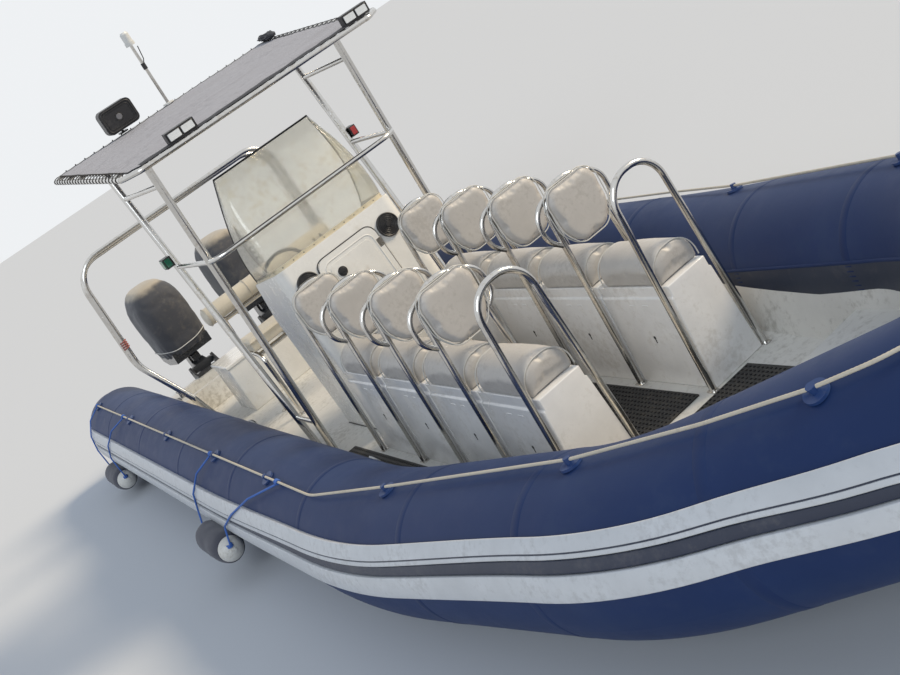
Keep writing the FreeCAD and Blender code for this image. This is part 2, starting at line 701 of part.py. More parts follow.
# Helm seat: tube frame with a bench cushion and a round bolster
SEAT_X = -1650
helm = []
for side in (1, -1):
    y = side * 470
    helm.append(pipe([
        (SEAT_X + 210, y, foot_z), (SEAT_X + 190, y, sole_z + 520),
        (SEAT_X - 150, y, sole_z + 560), (SEAT_X - 120, y, sole_z + 850),
    ], 17, 70))
    helm.append(rod((SEAT_X - 150, y, foot_z), (SEAT_X - 110, y, sole_z + 556), 17))
    for x in (SEAT_X + 210, SEAT_X - 150):
        helm.append(Part.makeCylinder(42, 6, vec(x, y, sole_z + 0.2)))
for x, z in ((SEAT_X + 150, sole_z + 525), (SEAT_X - 80, sole_z + 552), (SEAT_X - 122, sole_z + 830)):
    helm.append(rod((x, -470, z), (x, 470, z), 17))
add("helm_seat_frame", fuse(helm))
bench_z = sole_z + 552 + 17 + soft
bench = box(SEAT_X - 110, SEAT_X + 230, -520, 520, bench_z, bench_z + 90)
bench = round_off(bench, 34, lambda e: True)
bolster_z = sole_z + 830 + 17 + soft + 74
bolster = rod((SEAT_X - 122, -590, bolster_z), (SEAT_X - 122, 590, bolster_z), 74)
for side in (1, -1):
    post = Part.makeCylinder(17 + soft, 90, vec(SEAT_X - 120, side * 470, sole_z + 790))
    bolster = bolster.cut(post)
bolster = round_off(bolster, 22, lambda e: e.CenterOfMass.y in (-590, 590) and e.Closed)
add("helm_seat_cushions", [bench, bolster])

# Stern arch: two hoops of tube side by side, standing on the deck moulding
arch_r = size("arch_radius")
arch = []
ARCHES = (
    # foot x, knee x, head x, head height
    (-2900, -3010, -2960, 1960),
    (-3020, -3160, -3110, 1930),
)
for foot_x, knee_x, head_x, high in ARCHES:
    arch.append(pipe([
        (foot_x, -728, foot_z + 4), (foot_x, -800, 560), (knee_x, -985, 1020),
        (head_x, -950, high), (head_x, 950, high), (knee_x, 985, 1020),
        (foot_x, 800, 560), (foot_x, 728, foot_z + 4),
    ], arch_r, [60, 300, 230, 230, 300, 60]))
    for side in (1, -1):
        arch.append(Part.makeCylinder(36, 6, vec(foot_x, side * 728, sole_z + 0.2)))
for side in (1, -1):
    for z, y in ((1500, 968), (1150, 980)):
        arch.append(rod((-2990, side * y, z), (-3140, side * y, z), 12))
add("stern_arch", fuse(arch))

# Stern locker with a hinged lid
LOCKER = (-2720, -2300, 560, 700)
lx0, lx1, ly, lz = LOCKER
locker = box(lx0, lx1, -ly, ly, sole_z + 0.2, lz).cut(
    box(lx0 + 15, lx1 - 15, 15 - ly, ly - 15, sole_z + 15, lz + 1))
add("stern_locker", locker)
lid = box(lx0 - 10, lx1 + 10, -ly - 10, ly + 10, lz + soft, lz + 30)
lid = round_off(lid, 12, lambda e: e.CenterOfMass.z > lz + 29)
add("locker_lid", lid)

# Engine well and transom at the stern
well = box(-3750, -3245, -840, 840, sole_z - 11.8, 500)
well = well.cut([box(-3690, -3310, -720, 720, 350, 501)] + collar + [hull, liner])
add("engine_well", max(well.Solids, key=lambda s: s.Volume))

# Outboard engines: transom brackets, swivels, engines, propellers, covers
tilt_x, tilt_z = size("tilt_x"), size("tilt_z")
steer_x = size("steer_x")
pin_r = size("tilt_pin_radius")
play = size("run_clearance")
engine_y = size("engine_y")
brackets = []
for side in (1, -1):
    y = side * engine_y
    plate = box(-3766, -3750.2, y - 130, y + 130, 120, 520)
    cap = box(-3766, -3685, y - 130, y + 130, 500.2, 520)
    pieces = [plate, cap]
    for edge_y in (y - 130, y + 110):
        cheek = slab([(-3760, 130), (-3760, 520), (tilt_x + 20, 590), (tilt_x - 34, 575),
                      (tilt_x - 34, 500), (-3800, 130)], edge_y, edge_y + 20)
        pieces.append(cheek)
    bracket = fuse(pieces).cut(rod((tilt_x, y - 140, tilt_z), (tilt_x, y + 140, tilt_z), pin_r + play))
    brackets.append(bracket)
add("engine_brackets", brackets)

PROP_Z = -470
prop_x = steer_x - 330
for side_name, side in (("port", 1), ("starboard", -1)):
    y = side * engine_y
    swivel = fuse([
        rod((tilt_x, y - 134, tilt_z), (tilt_x, y + 134, tilt_z), pin_r),
        slab([(tilt_x + 30, 505), (tilt_x + 30, 575), (steer_x - 33, 600), (steer_x - 33, 545),
              (steer_x + 20, 150), (-3850, 150), (-3850, 330)], y - 60, y + 60),
        box(tilt_x - 30, tilt_x + 30, y - 100, y + 100, 515, 570),
    ])
    swivel = swivel.cut(Part.makeCylinder(22 + play, 700, vec(steer_x, y, 60)))
    add("engine_swivel_" + side_name, swivel)

    leg = loft([
        [(steer_x - 205, y - 50, z), (steer_x - 250 - grow, y, z), (steer_x - 205, y + 50, z),
         (steer_x - 64, y + 52, z), (steer_x - 64, y - 52, z)]
        for z, grow in ((700, 0), (-255, 30))
    ])
    head = slab([(steer_x + 120, 690), (steer_x + 140, 790), (steer_x - 470, 790),
                 (steer_x - 430, 690), (steer_x - 260, 655)], y - 190, y + 190)
    plate = slab([(steer_x - 20, -242), (steer_x - 420, -242), (steer_x - 420, -258),
                  (steer_x - 20, -258)], y - 110, y + 110)
    fin = loft([
        [(steer_x - 30, y, z), (steer_x - 90, y + 34 * w, z), (steer_x - 240, y + 30 * w, z),
         (steer_x - 280, y, z), (steer_x - 240, y - 30 * w, z), (steer_x - 90, y - 34 * w, z)]
        for z, w in ((-250, 1), (-480, 0.8))
    ])
    skeg = slab([(steer_x - 70, -500), (steer_x - 280, -500), (steer_x - 255, -690),
                 (steer_x - 190, -700)], y - 7, y + 7)
    torpedo = rod((steer_x + 20, y, PROP_Z), (prop_x + 52, y, PROP_Z), 62)
    nose_cone = Part.makeCone(62, 8, 130, vec(steer_x + 20, y, PROP_Z), vec(1, 0, 0))
    shaft = rod((prop_x + 60, y, PROP_Z), (prop_x - 130, y, PROP_Z), 14)
    king = Part.makeCylinder(22, 520, vec(steer_x, y, 110))
    arms = [box(steer_x - 100, steer_x + 22, y - 40, y + 40, 603, 661),
            box(steer_x - 100, steer_x + 22, y - 40, y + 40, 100, 148)]
    nut = Part.makeCylinder(24, 16, vec(prop_x - 114, y, PROP_Z), vec(-1, 0, 0))
    engine = fuse([leg, head, plate, fin, skeg, torpedo, nose_cone, shaft, king, nut] + arms)
    add("engine_" + side_name, engine)

    HOOD = (
        # height, forward reach, aft reach, half width
        (760, 170, 500, 222),
        (1000, 178, 520, 235),
        (1240, 165, 510, 225),
        (1390, 90, 420, 165),
        (1425, 20, 330, 100),
    )
    hood = loft([
        [(steer_x + f, y - w * 0.55, z), (steer_x + f, y + w * 0.55, z),
         (steer_x + f - 90, y + w, z), (steer_x - a + 110, y + w, z),
         (steer_x - a, y + w * 0.6, z), (steer_x - a, y - w * 0.6, z),
         (steer_x - a + 110, y - w, z), (steer_x + f - 90, y - w, z)]
        for z, f, a, w in HOOD
    ])
    core = slab([(steer_x + 141, 650), (steer_x + 141, 790 + soft), (steer_x - 471, 790 + soft),
                 (steer_x - 471, 650)], y - 190 - soft, y + 190 + soft)
    add("engine_cover_" + side_name, hood.cut(core))

    prop_hub = rod((prop_x + 44, y, PROP_Z), (prop_x - 112, y, PROP_Z), 52)
    blades = []
    for turn in (0, 120, 240):
        blade = Part.Face(outline([
            (prop_x - 60, -42, 30), (prop_x - 60, 42, 30), (prop_x - 60, 88, 120),
            (prop_x - 60, 60, size("prop_radius") - 8), (prop_x - 60, -20, size("prop_radius")),
            (prop_x - 60, -70, 120),
        ])).extrude(vec(7, 0, 0))
        blade.rotate(vec(prop_x - 56, 0, 0), vec(0, 0, 1), side * 28)
        blade.rotate(vec(0, 0, 0), vec(1, 0, 0), turn)
        blade.translate(vec(0, y, PROP_Z))
        blades.append(blade)
    prop = fuse([prop_hub] + blades)
    prop = prop.cut(rod((prop_x + 70, y, PROP_Z), (prop_x - 140, y, PROP_Z), 14 + play))
    add("propeller_" + side_name, prop)

# Lifeline around the collar, held by moulded patches
line_r = size("line_radius")
LINE_ANGLE = 67
LINE_OUT = 26
HOLDERS = (
    # x of the collar's middle line, angle around the collar
    (-4200, LINE_ANGLE), (-2870, LINE_ANGLE), (-1620, LINE_ANGLE), (-390, LINE_ANGLE),
    (640, LINE_ANGLE), (2100, 83), (3450, 90), (4400, 71),
)
LINE_TURNS = ((1350, LINE_ANGLE), (2100, 83), (2780, 87), (3450, 90), (4050, 80), (4400, 71), (4560, 71),
              (4700, 72))


def round_collar(x, angle, out):
    a = math.radians(angle)
    r = tube_r + out
    return (x, tube_y + r * math.cos(a), tube_z + r * math.sin(a))


def along_collar(x, angle, out):
    """Point around the collar where its middle line passes x, from the tail to the nose."""
    for edge in run(half_path, half_bends).OrderedEdges:
        low, high = edge.FirstParameter, edge.LastParameter
        if not edge.valueAt(low).x <= x <= edge.valueAt(high).x:
            continue
        for step in range(40):
            middle = (low + high) / 2
            if edge.valueAt(middle).x < x:
                low = middle
            else:
                high = middle
        ahead = edge.tangentAt(low)
        outward = vec(0, 0, 1).cross(ahead).normalize()
        a = math.radians(angle)
        r = tube_r + out
        place = edge.valueAt(low) + outward * (r * math.cos(a)) + ahead.cross(outward) * (r * math.sin(a))
        return tuple(place)


LINE_BENDS = [600] * 6 + [300, 60, 60]
bow_angle = math.radians(LINE_TURNS[-1][1])
bow_x = nose[0] + (tube_r + LINE_OUT) * math.cos(bow_angle)
bow_z = nose[2] + (tube_r + LINE_OUT) * math.sin(bow_angle)
line_points = [round_collar(HOLDERS[0][0], LINE_ANGLE, LINE_OUT)]
line_points += [along_collar(x, angle, LINE_OUT) for x, angle in LINE_TURNS]
line_points += [(bow_x, 190, bow_z), (bow_x, 0, bow_z)]
half_line = pipe(line_points, line_r, LINE_BENDS)
add("lifelines", half_line.fuse(flip(half_line)))
patches = []
for x, angle in HOLDERS:
    disc = rod(along_collar(x, angle, 1), along_collar(x, angle, 12), 42)
    block = rod(along_collar(x, angle, 8), along_collar(x, angle, 36), 15)
    holder = disc.fuse(block).cut([collar_port, collar_bow, half_line])
    patches += both(max(holder.Solids, key=lambda s: s.Volume))
add("line_patches", patches)

# Fenders lying along the starboard collar, each slung on two ropes
fender_r = size("fender_radius")
FENDER_HALF = 270
FENDERS = (
    # x, drop below the collar's middle line, x of its two ropes on the lifeline
    (-3900, 240, (-4170, -3050)),
    (-450, 150, (-430, 850)),
)
ROPE_OUT = 41.3
ROPE_EAR = 27
rope_start = LINE_ANGLE - 2.6
fenders, slings = [], []
for x, drop, tops in FENDERS:
    reach = tube_r + fender_r + 4
    y = -(tube_y + math.sqrt(reach ** 2 - drop ** 2))
    z = tube_z - drop
    bag = rod((x - FENDER_HALF, y, z), (x + FENDER_HALF, y, z), fender_r)
    bag = round_off(bag, 60, lambda e: e.Closed and abs(e.CenterOfMass.x - x) > 100)
    for end in (-1, 1):
        bag = bag.fuse(rod((x + end * (FENDER_HALF - 5), y, z), (x + end * (FENDER_HALF + 43), y, z), 26))
    fenders.append(bag)
    for end, top_x in zip((-1, 1), tops):
        low_x = x + end * (FENDER_HALF + 30)
        line = []
        for angle, out in ((rope_start, LINE_OUT), (44, ROPE_OUT), (22, ROPE_OUT), (0, ROPE_OUT)):
            gone = 1 - angle / rope_start
            px, py, pz = round_collar(top_x + (low_x - top_x) * gone, angle, out)
            line.append((px, -py, pz))
        slings.append(pipe(line + [(low_x, y, z + ROPE_EAR)], 6, 40))
add("fenders", fenders)
add("fender_lines", slings)

# Bow eye, deck cleats and inflation valves
EYE = ((4560.5, 354.3), (4610.5, 304.7), (4690.5, 387.3), (4640.5, 436.9))
add("bow_eye", pipe([(x, 0, z) for x, z in EYE], 10, 36))


def cleat(x, y, z):
    legs = [Part.makeCylinder(9, 34, vec(x + d, y, z + 4)) for d in (-35, 35)]
    base = box(x - 60, x + 60, y - 18, y + 18, z + 0.2, z + 7)
    horn = rod((x - 105, y, z + 42), (x + 105, y, z + 42), 10)
    return fuse([base, horn] + legs)


add("cleats", [cleat(-3480, 782, 500), cleat(-3480, -782, 500)])
VALVE_ANGLE = 150
valves = []
for x in (1100, -1000, -3000):
    disc = rod(round_collar(x, VALVE_ANGLE, 0), round_collar(x, VALVE_ANGLE, 9), 32).cut(collar_port)
    valves += both(max(disc.Solids, key=lambda s: s.Volume))
add("air_valves", valves)

# Every object is checked, then each piece is written to its own file
doc.recompute()
faults = []
for obj in doc.Objects:
    if "Invalid" in obj.State or "Error" in obj.State:
        faults.append(obj.Name)
skip = {m.Name for m in mats}
for obj in doc.Objects:
    if obj.Name in skip or not hasattr(obj, "Shape"):
        continue
    if obj.TypeId not in ("Part::Feature", "Part::Compound", "PartDesign::Body"):
        continue
    if obj.Shape.isNull() or not obj.Shape.isValid():
        faults.append(obj.Label)
        continue
    if not obj.Shape.Solids:
        faults.append(obj.Label + " has no solid")
        continue
    Part.export([obj], "parts/%s.step" % obj.Label)
    b = obj.Shape.BoundBox
    print("%-24s solids %2d  x %7.0f %7.0f  y %7.0f %7.0f  z %7.0f %7.0f" % (
        obj.Label, len(obj.Shape.Solids), b.XMin, b.XMax, b.YMin, b.YMax, b.ZMin, b.ZMax))
if faults:
    raise RuntimeError("faulty pieces: " + ", ".join(faults))
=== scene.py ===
import math
from math import cos, pi, radians, sin, sqrt

import bmesh
import bpy
from mathutils import Matrix, Vector, noise


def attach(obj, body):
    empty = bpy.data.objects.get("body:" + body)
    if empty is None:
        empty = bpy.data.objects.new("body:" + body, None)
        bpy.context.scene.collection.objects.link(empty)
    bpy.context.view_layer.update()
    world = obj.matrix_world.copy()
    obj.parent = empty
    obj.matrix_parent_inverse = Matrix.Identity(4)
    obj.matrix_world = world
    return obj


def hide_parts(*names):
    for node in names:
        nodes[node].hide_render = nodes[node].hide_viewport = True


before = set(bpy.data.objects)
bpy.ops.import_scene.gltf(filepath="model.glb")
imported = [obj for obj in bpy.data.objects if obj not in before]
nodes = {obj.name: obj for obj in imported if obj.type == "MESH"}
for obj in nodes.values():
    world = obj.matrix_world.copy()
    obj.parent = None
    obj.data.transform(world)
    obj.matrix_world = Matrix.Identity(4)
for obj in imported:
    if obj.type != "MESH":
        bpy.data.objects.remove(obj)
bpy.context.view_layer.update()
scene = bpy.context.scene

# Inflated collar: two side tubes and a bow piece of navy coated fabric, glued
# from tapered panels. The seams are taped, and the lower inner half is a
# darker cloth. The finish helpers used for every later piece start here.


def vec(*numbers):
    return Vector(numbers)


UP = vec(0, 0, 1)


def node(tree, kind, values=None, wires=None, **attributes):
    made = tree.nodes.new(kind if "Node" in kind else "ShaderNode" + kind)
    for key, value in attributes.items():
        setattr(made, key, value)
    for key, value in (values or {}).items():
        made.inputs[key].default_value = value
    for key, socket in (wires or {}).items():
        tree.links.new(socket, made.inputs[key])
    return made


def reckon(tree, operation, *values, **more):
    """One step of arithmetic on sockets or numbers."""
    given_numbers = {i: v for i, v in enumerate(values) if isinstance(v, float)}
    wires = {i: v for i, v in enumerate(values) if not isinstance(v, float)}
    return node(tree, "Math", given_numbers, wires, operation=operation, **more).outputs[0]


def group_with(name, inputs, outputs, kind="ShaderNodeTree"):
    tree = bpy.data.node_groups.new(name, kind)
    for label, kind, *value in inputs:
        socket = tree.interface.new_socket(label, in_out="INPUT", socket_type=kind)
        if value:
            socket.default_value = value[0]
    for label, kind in outputs:
        tree.interface.new_socket(label, in_out="OUTPUT", socket_type=kind)
    return tree, tree.nodes.new("NodeGroupInput").outputs, tree.nodes.new("NodeGroupOutput").inputs


COLOUR, NUMBER = "NodeSocketColor", "NodeSocketFloat"
weathering, given, result = group_with("Weathering", [
    ("Colour", COLOUR, (0.5, 0.5, 0.5, 1)), ("Stain", COLOUR, (0.2, 0.2, 0.2, 1)),
    ("Stain Amount", NUMBER, 0.3), ("Patch Scale", NUMBER, 1.5), ("Grain Scale", NUMBER, 300.0),
    ("Roughness", NUMBER, 0.5), ("Roughness Spread", NUMBER, 0.2),
], [("Colour", COLOUR), ("Roughness", NUMBER), ("Height", NUMBER)])
place = node(weathering, "TexCoord").outputs["Object"]
patches = node(weathering, "TexNoise", {"Detail": 5.0, "Roughness": 0.62},
    {"Vector": place, "Scale": given["Patch Scale"]}).outputs[0]
finer = reckon(weathering, "MULTIPLY", given["Patch Scale"], 9.0)
specks = node(weathering, "TexNoise", {"Detail": 4.0, "Roughness": 0.7},
    {"Vector": place, "Scale": finer}).outputs[0]
grain = node(weathering, "TexNoise", {"Detail": 2.0}, {"Vector": place,
    "Scale": given["Grain Scale"]}).outputs[0]
both = reckon(weathering, "ADD", patches, specks)
mask = node(weathering, "MapRange", {"From Min": 0.98, "From Max": 1.3}, {"Value": both},
    interpolation_type="SMOOTHSTEP").outputs[0]
share = reckon(weathering, "MULTIPLY", mask, given["Stain Amount"])
stained = node(weathering, "Mix", None, {0: share, 6: given["Colour"], 7: given["Stain"]},
    data_type="RGBA").outputs[2]
lift = node(weathering, "MapRange", {"From Min": 0.3, "From Max": 0.7, "To Min": 0.9, "To Max": 1.08},
    {"Value": patches}).outputs[0]
toned = node(weathering, "HueSaturation", None, {"Color": stained, "Value": lift}).outputs[0]
shift = reckon(weathering, "SUBTRACT", specks, 0.5)
rough = reckon(weathering, "MULTIPLY_ADD", shift, given["Roughness Spread"], given["Roughness"])
for key, socket in (("Colour", toned), ("Roughness", rough), ("Height", grain)):
    weathering.links.new(socket, result[key])


def finish(name, colour, rough, stain=(0.1, 0.09, 0.08), amount=0.3, patch=1.5, grain=900.0, depth=0.0002,
        spread=0.2, bump=0.35, **constants):
    """A weathered surface; the constants go to the shader's own sockets."""
    made = bpy.data.materials.new(name)
    made.use_nodes = True
    tree = made.node_tree
    shader = tree.nodes["Principled BSDF"]
    worn = node(tree, "Group", node_tree=weathering)
    worn.name = "Worn"
    for key, value in (("Colour", (*colour, 1)), ("Stain", (*stain, 1)), ("Stain Amount", amount),
            ("Patch Scale", patch), ("Grain Scale", grain), ("Roughness", rough),
            ("Roughness Spread", spread)):
        worn.inputs[key].default_value = value
    tree.links.new(worn.outputs["Colour"], shader.inputs["Base Color"])
    tree.links.new(worn.outputs["Roughness"], shader.inputs["Roughness"])
    raised = node(tree, "Bump", {"Strength": bump, "Distance": depth}, {"Height": worn.outputs["Height"]})
    tree.links.new(raised.outputs[0], shader.inputs["Normal"])
    for key, value in constants.items():
        shader.inputs[key.replace("_", " ")].default_value = value
    return made


def dress(names, material):
    """Gives CAD nodes their material."""
    for name in names:
        slots = nodes[name].data.materials
        slots.clear()
        slots.append(material)


def plain_mesh(name, points, faces=()):
    mesh = bpy.data.meshes.new(name)
    mesh.from_pydata([tuple(p) for p in points], [], faces)
    return mesh


def in_scene(name, contents):
    made = bpy.data.objects.new(name, contents)
    scene.collection.objects.link(made)
    return made


def piece(name, shape, material, body="boat", replaces=(), crease=35):
    """A finished mesh piece, of one shape or a list of them, that rides on a body."""
    mesh = plain_mesh(name, *(gather(shape) if isinstance(shape, list) else shape))
    mesh.validate()
    return settle(name, mesh, material, body, replaces, crease)


def settle(name, mesh, material, body="boat", replaces=(), crease=35):
    shape = bmesh.new()
    shape.from_mesh(mesh)
    bmesh.ops.remove_doubles(shape, verts=shape.verts, dist=0.00002)
    bmesh.ops.recalc_face_normals(shape, faces=shape.faces)
    shape.to_mesh(mesh)
    shape.free()
    if not mesh.materials:
        mesh.materials.append(material)
    mesh.polygons.foreach_set("use_smooth", [True] * len(mesh.polygons))
    mesh.set_sharp_from_angle(angle=radians(crease))
    made = in_scene(name, mesh)
    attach(made, body)
    if replaces:
        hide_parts(*([replaces] if isinstance(replaces, str) else replaces))
    return made


def rounded(corners, bends, steps=10):
    """Points along straight runs with an arc at each inner corner."""
    corners = [Vector(c) for c in corners]
    if not isinstance(bends, (list, tuple)):
        bends = [bends] * (len(corners) - 2)
    line = [corners[0]]
    for before, corner, after, bend in zip(corners, corners[1:], corners[2:], bends):
        back, ahead = (before - corner).normalized(), (after - corner).normalized()
        half = back.angle(ahead) / 2
        if half > 1.565:
            continue
        middle = (back + ahead).normalized()
        centre = corner + middle * (bend / sin(half))
        first = corner + back * (bend / math.tan(half)) - centre
        last = corner + ahead * (bend / math.tan(half)) - centre
        sweep = first.angle(last)
        for i in range(steps + 1):
            t = i / steps
            way = (first * sin((1 - t) * sweep) + last * sin(t * sweep)) / sin(sweep)
            line.append(centre + way)
    return line + [corners[-1]]


COLLAR_R, COLLAR_Y, COLLAR_Z, TAIL_X = 0.335, 1.185, 0.430, -4.350
COLLAR_CORNERS = [(TAIL_X, COLLAR_Y, COLLAR_Z), (1.750, COLLAR_Y, COLLAR_Z),
    (3.650, COLLAR_Y - 0.275, COLLAR_Z + 0.230), (4.760, 0.330, COLLAR_Z + 0.470)]
COLLAR_CORNERS += [(x, -y, z) for x, y, z in reversed(COLLAR_CORNERS)]


def even_points(line, spacing):
    """The line's points again, at even distances along it."""
    lengths = [0.0]
    for a, b in zip(line, line[1:]):
        lengths.append(lengths[-1] + (b - a).length)
    count = max(2, round(lengths[-1] / spacing))
    out, at = [], 0
    for i in range(count + 1):
        want = lengths[-1] * i / count
        while at < len(lengths) - 2 and lengths[at + 1] < want:
            at += 1
        span = lengths[at + 1] - lengths[at]
        out.append(line[at].lerp(line[at + 1], (want - lengths[at]) / span if span else 0))
    return out


collar_line = even_points(rounded(COLLAR_CORNERS, [5.0, 1.9, 0.42, 0.42, 1.9, 5.0], 24), 0.06)
collar_frames = []
for i, point in enumerate(collar_line):
    ahead = (collar_line[min(i + 1, len(collar_line) - 1)] - collar_line[max(i - 1, 0)]).normalized()
    outward = UP.cross(ahead).normalized()
    collar_frames.append((point, outward, ahead.cross(outward), ahead))


def on_collar(frame_at, angle, out=0.0):
    point, outward, up, ahead = frame_at
    a = radians(angle)
    return point + (outward * cos(a) + up * sin(a)) * (COLLAR_R + out)


def skin(rings, caps=True, closed=True, joined=False):
    """Points and faces over a row of rings, or of open lines, of equal counts."""
    count, rows = len(rings[0]), len(rings)
    faces = [(i * count + j, i * count + (j + 1) % count, (i + 1) % rows * count + (j + 1) % count,
        (i + 1) % rows * count + j) for i in range(rows if joined else rows - 1)
        for j in range(count if closed else count - 1)]
    if caps and not joined:
        faces += [tuple(reversed(range(count))), tuple((rows - 1) * count + j for j in range(count))]
    return [p for ring in rings for p in ring], faces


def gather(parts):
    points, faces = [], []
    for some_points, some_faces in parts:
        base = len(points)
        points += list(some_points)
        faces += [tuple(i + base for i in face) for face in some_faces]
    return points, faces


def turns(count):
    return [2 * pi * i / count for i in range(count)]


def collar_ribbon(frames, profile):
    """A closed strip along the collar; the profile is (angle, stand-off) all round."""
    return skin([[on_collar(each, angle, out) for angle, out in profile] for each in frames])


navy_cloth = finish("Navy collar cloth", (0.0085, 0.026, 0.096), 0.50, stain=(0.030, 0.050, 0.112),
    amount=0.35, patch=1.1, depth=0.0003, spread=0.22, bump=0.25, Specular_IOR_Level=0.22)
dark_cloth = finish("Dark inner collar cloth", (0.024, 0.032, 0.056), 0.40, stain=(0.10, 0.10, 0.11),
    amount=0.4, patch=1.6, spread=0.25, bump=0.2, Specular_IOR_Level=0.3)
seam_tape = finish("Collar seam tape", (0.0079, 0.024, 0.090), 0.52, stain=(0.03, 0.05, 0.11), amount=0.2,
    grain=1200.0, bump=0.2, Specular_IOR_Level=0.22)
dress(("collar_port", "collar_starboard", "collar_bow"), navy_cloth)

inner = [f for f in collar_frames if f[0].x > -4.3]
points, faces = collar_ribbon(inner, [(a, 0.0012) for a in range(166, 239, 4)]
    + [(a, 0.0001) for a in range(238, 165, -4)])
piece("collar_inner_cloth", (points, faces), dark_cloth, crease=50)
points, faces = collar_ribbon(inner, [(164.4, 0.0012), (165.2, 0.0052), (166.4, 0.0052), (167.2, 0.0012)])
piece("collar_inner_seam", (points, faces), seam_tape, crease=60)


def collar_hoop(x_at, side, width, proud):
    """Tape round the collar at one place."""
    point, outward, up, ahead = min(collar_frames, key=lambda f: abs(f[0].x - x_at)
        + (10 if f[0].y * side < 0 else 0))
    return skin([[point + ahead * (along * width) + (outward * cos(a) + up * sin(a)) * (COLLAR_R + out)
        for a in turns(96)] for along, out in ((-0.5, 0.0), (-0.45, proud), (0.45, proud), (0.5, 0.0))],
        caps=False)


SEAMS = (-3.55, -2.35, -1.15, 0.05, 1.25, 2.35, 3.25, 4.05)
hoops = [collar_hoop(x, side, 0.05, 0.0011) for x in SEAMS for side in (1, -1)]
piece("collar_seams", hoops, seam_tape, crease=60)

# Rubbing strake: two pale rubber ribs with a dark band between, glued on round
# the collar. The pale rubber is scuffed, and yellowed in patches.
pale_rubber = finish("Pale strake rubber", (0.58, 0.60, 0.62), 0.38, stain=(0.30, 0.30, 0.30), amount=0.40,
    patch=3.2, grain=500.0, spread=0.3, bump=0.25)
band_rubber = finish("Dark strake rubber", (0.024, 0.032, 0.058), 0.45, stain=(0.10, 0.10, 0.11),
    amount=0.4, patch=4.0, grain=500.0)
STRAKE = (
    # x, angles of the lower rib's lower edge, the band's two edges, the upper rib's top edge
    (-0.50, -13.0, 5.0, 10.0, 29.5), (1.30, -1.0, 14.5, 21.0, 37.5), (2.30, 2.5, 18.5, 25.5, 40.5),
    (3.45, 7.0, 23.0, 31.0, 44.0), (4.05, 5.5, 19.0, 26.5, 40.0), (4.45, -0.5, 12.5, 19.0, 34.5),
    (5.20, -5.0, 8.5, 15.0, 31.0),
)


def strake_angles(x):
    """The strake's edges where its middle passes x, on a smooth curve through the table."""
    if x <= STRAKE[0][0]:
        return STRAKE[0][1:]
    if x >= STRAKE[-1][0]:
        return STRAKE[-1][1:]
    at = max(i for i in range(len(STRAKE) - 1) if STRAKE[i][0] <= x)
    a, b = STRAKE[at], STRAKE[at + 1]
    before, after = STRAKE[max(at - 1, 0)], STRAKE[min(at + 2, len(STRAKE) - 1)]
    span = b[0] - a[0]
    t = (x - a[0]) / span
    edges = []
    for k in range(1, 5):
        leave = 0.0 if at == 0 else (b[k] - before[k]) / (b[0] - before[0]) * span
        reach = 0.0 if at == len(STRAKE) - 2 else (after[k] - a[k]) / (after[0] - a[0]) * span
        edges.append(a[k] * (2 * t ** 3 - 3 * t * t + 1) + leave * (t ** 3 - 2 * t * t + t) + b[k]
            * (3 * t * t - 2 * t ** 3) + reach * (t ** 3 - t * t))
    return edges


def strake_strip(low, high, proud, groove=None):
    """A rounded strip between two of the strake's edges; a groove may run along it."""
    rings = []
    for each in collar_frames:
        if each[0].x <= TAIL_X + 0.02:
            continue
        edges = strake_angles(each[0].x)
        a0, a1 = low(edges), high(edges)
        profile = [(a0, -0.001), (a0 + 0.05, proud - 0.0035), (a0 + 0.35, proud - 0.0008), (a0 + 0.9, proud)]
        if groove:
            g = a0 + (a1 - a0) * groove
            profile += [(g - 0.55, proud), (g - 0.35, proud - 0.0040), (g + 0.35, proud - 0.0040),
                (g + 0.55, proud)]
        profile += [((a0 + a1) / 2 + (2.0 if groove else 0.0), proud + 0.0006), (a1 - 0.9, proud),
            (a1 - 0.35, proud - 0.0008), (a1 - 0.05, proud - 0.0035), (a1, -0.001)]
        profile += [((a0 * (4 - i) + a1 * i) / 4, -0.001) for i in (3, 2, 1)]
        rings.append([on_collar(each, angle, out) for angle, out in profile])
    return skin(rings)


STRAKE_PROUD, BAND_PROUD = 0.028, 0.0154
GROOVE = 0.24


def groove_at(edges):
    return edges[2] + 0.4 + (edges[3] - edges[2] - 0.4) * GROOVE


ribs = [strake_strip(lambda e: e[0], lambda e: e[1] - 0.4, STRAKE_PROUD),
    strake_strip(lambda e: e[2] + 0.4, lambda e: e[3], STRAKE_PROUD, GROOVE)]
piece("strake_pale_ribs", ribs, pale_rubber, replaces="strake_ribs", crease=50)
band = strake_strip(lambda e: e[1], lambda e: e[2], BAND_PROUD)
piece("strake_dark_band", band, band_rubber, replaces="strake_band", crease=50)
# A thin strip of the dark band rubber laid in the upper rib's groove: painted shade in the groove.
groove = strake_strip(lambda e: groove_at(e) - 0.45, lambda e: groove_at(e) + 0.45, STRAKE_PROUD - 0.0034)
piece("strake_groove_shade", groove, band_rubber, crease=50)

# Hull: deep-V bottom with spray rails, in dark navy gelcoat, laid up in one
# mould and bonded under the deck moulding.
hull_gel = finish("Navy hull gelcoat", (0.012, 0.018, 0.045), 0.18, stain=(0.05, 0.07, 0.07), amount=0.35,
    patch=2.0, grain=60.0, depth=0.0004, bump=0.1, Coat_Weight=0.4)
dress(("hull",), hull_gel)

# Deck moulding, bow step and engine well: off-white gelcoat with a worn
# non-skid sole, laid up in one mould and trimmed under the collar.
liner_gel = finish("Deck gelcoat", (0.66, 0.65, 0.61), 0.4, stain=(0.25, 0.23, 0.19), amount=0.5, patch=2.6,
    grain=350.0, depth=0.0008, bump=0.4)
dress(("deck_liner", "bow_deck", "engine_well"), liner_gel)


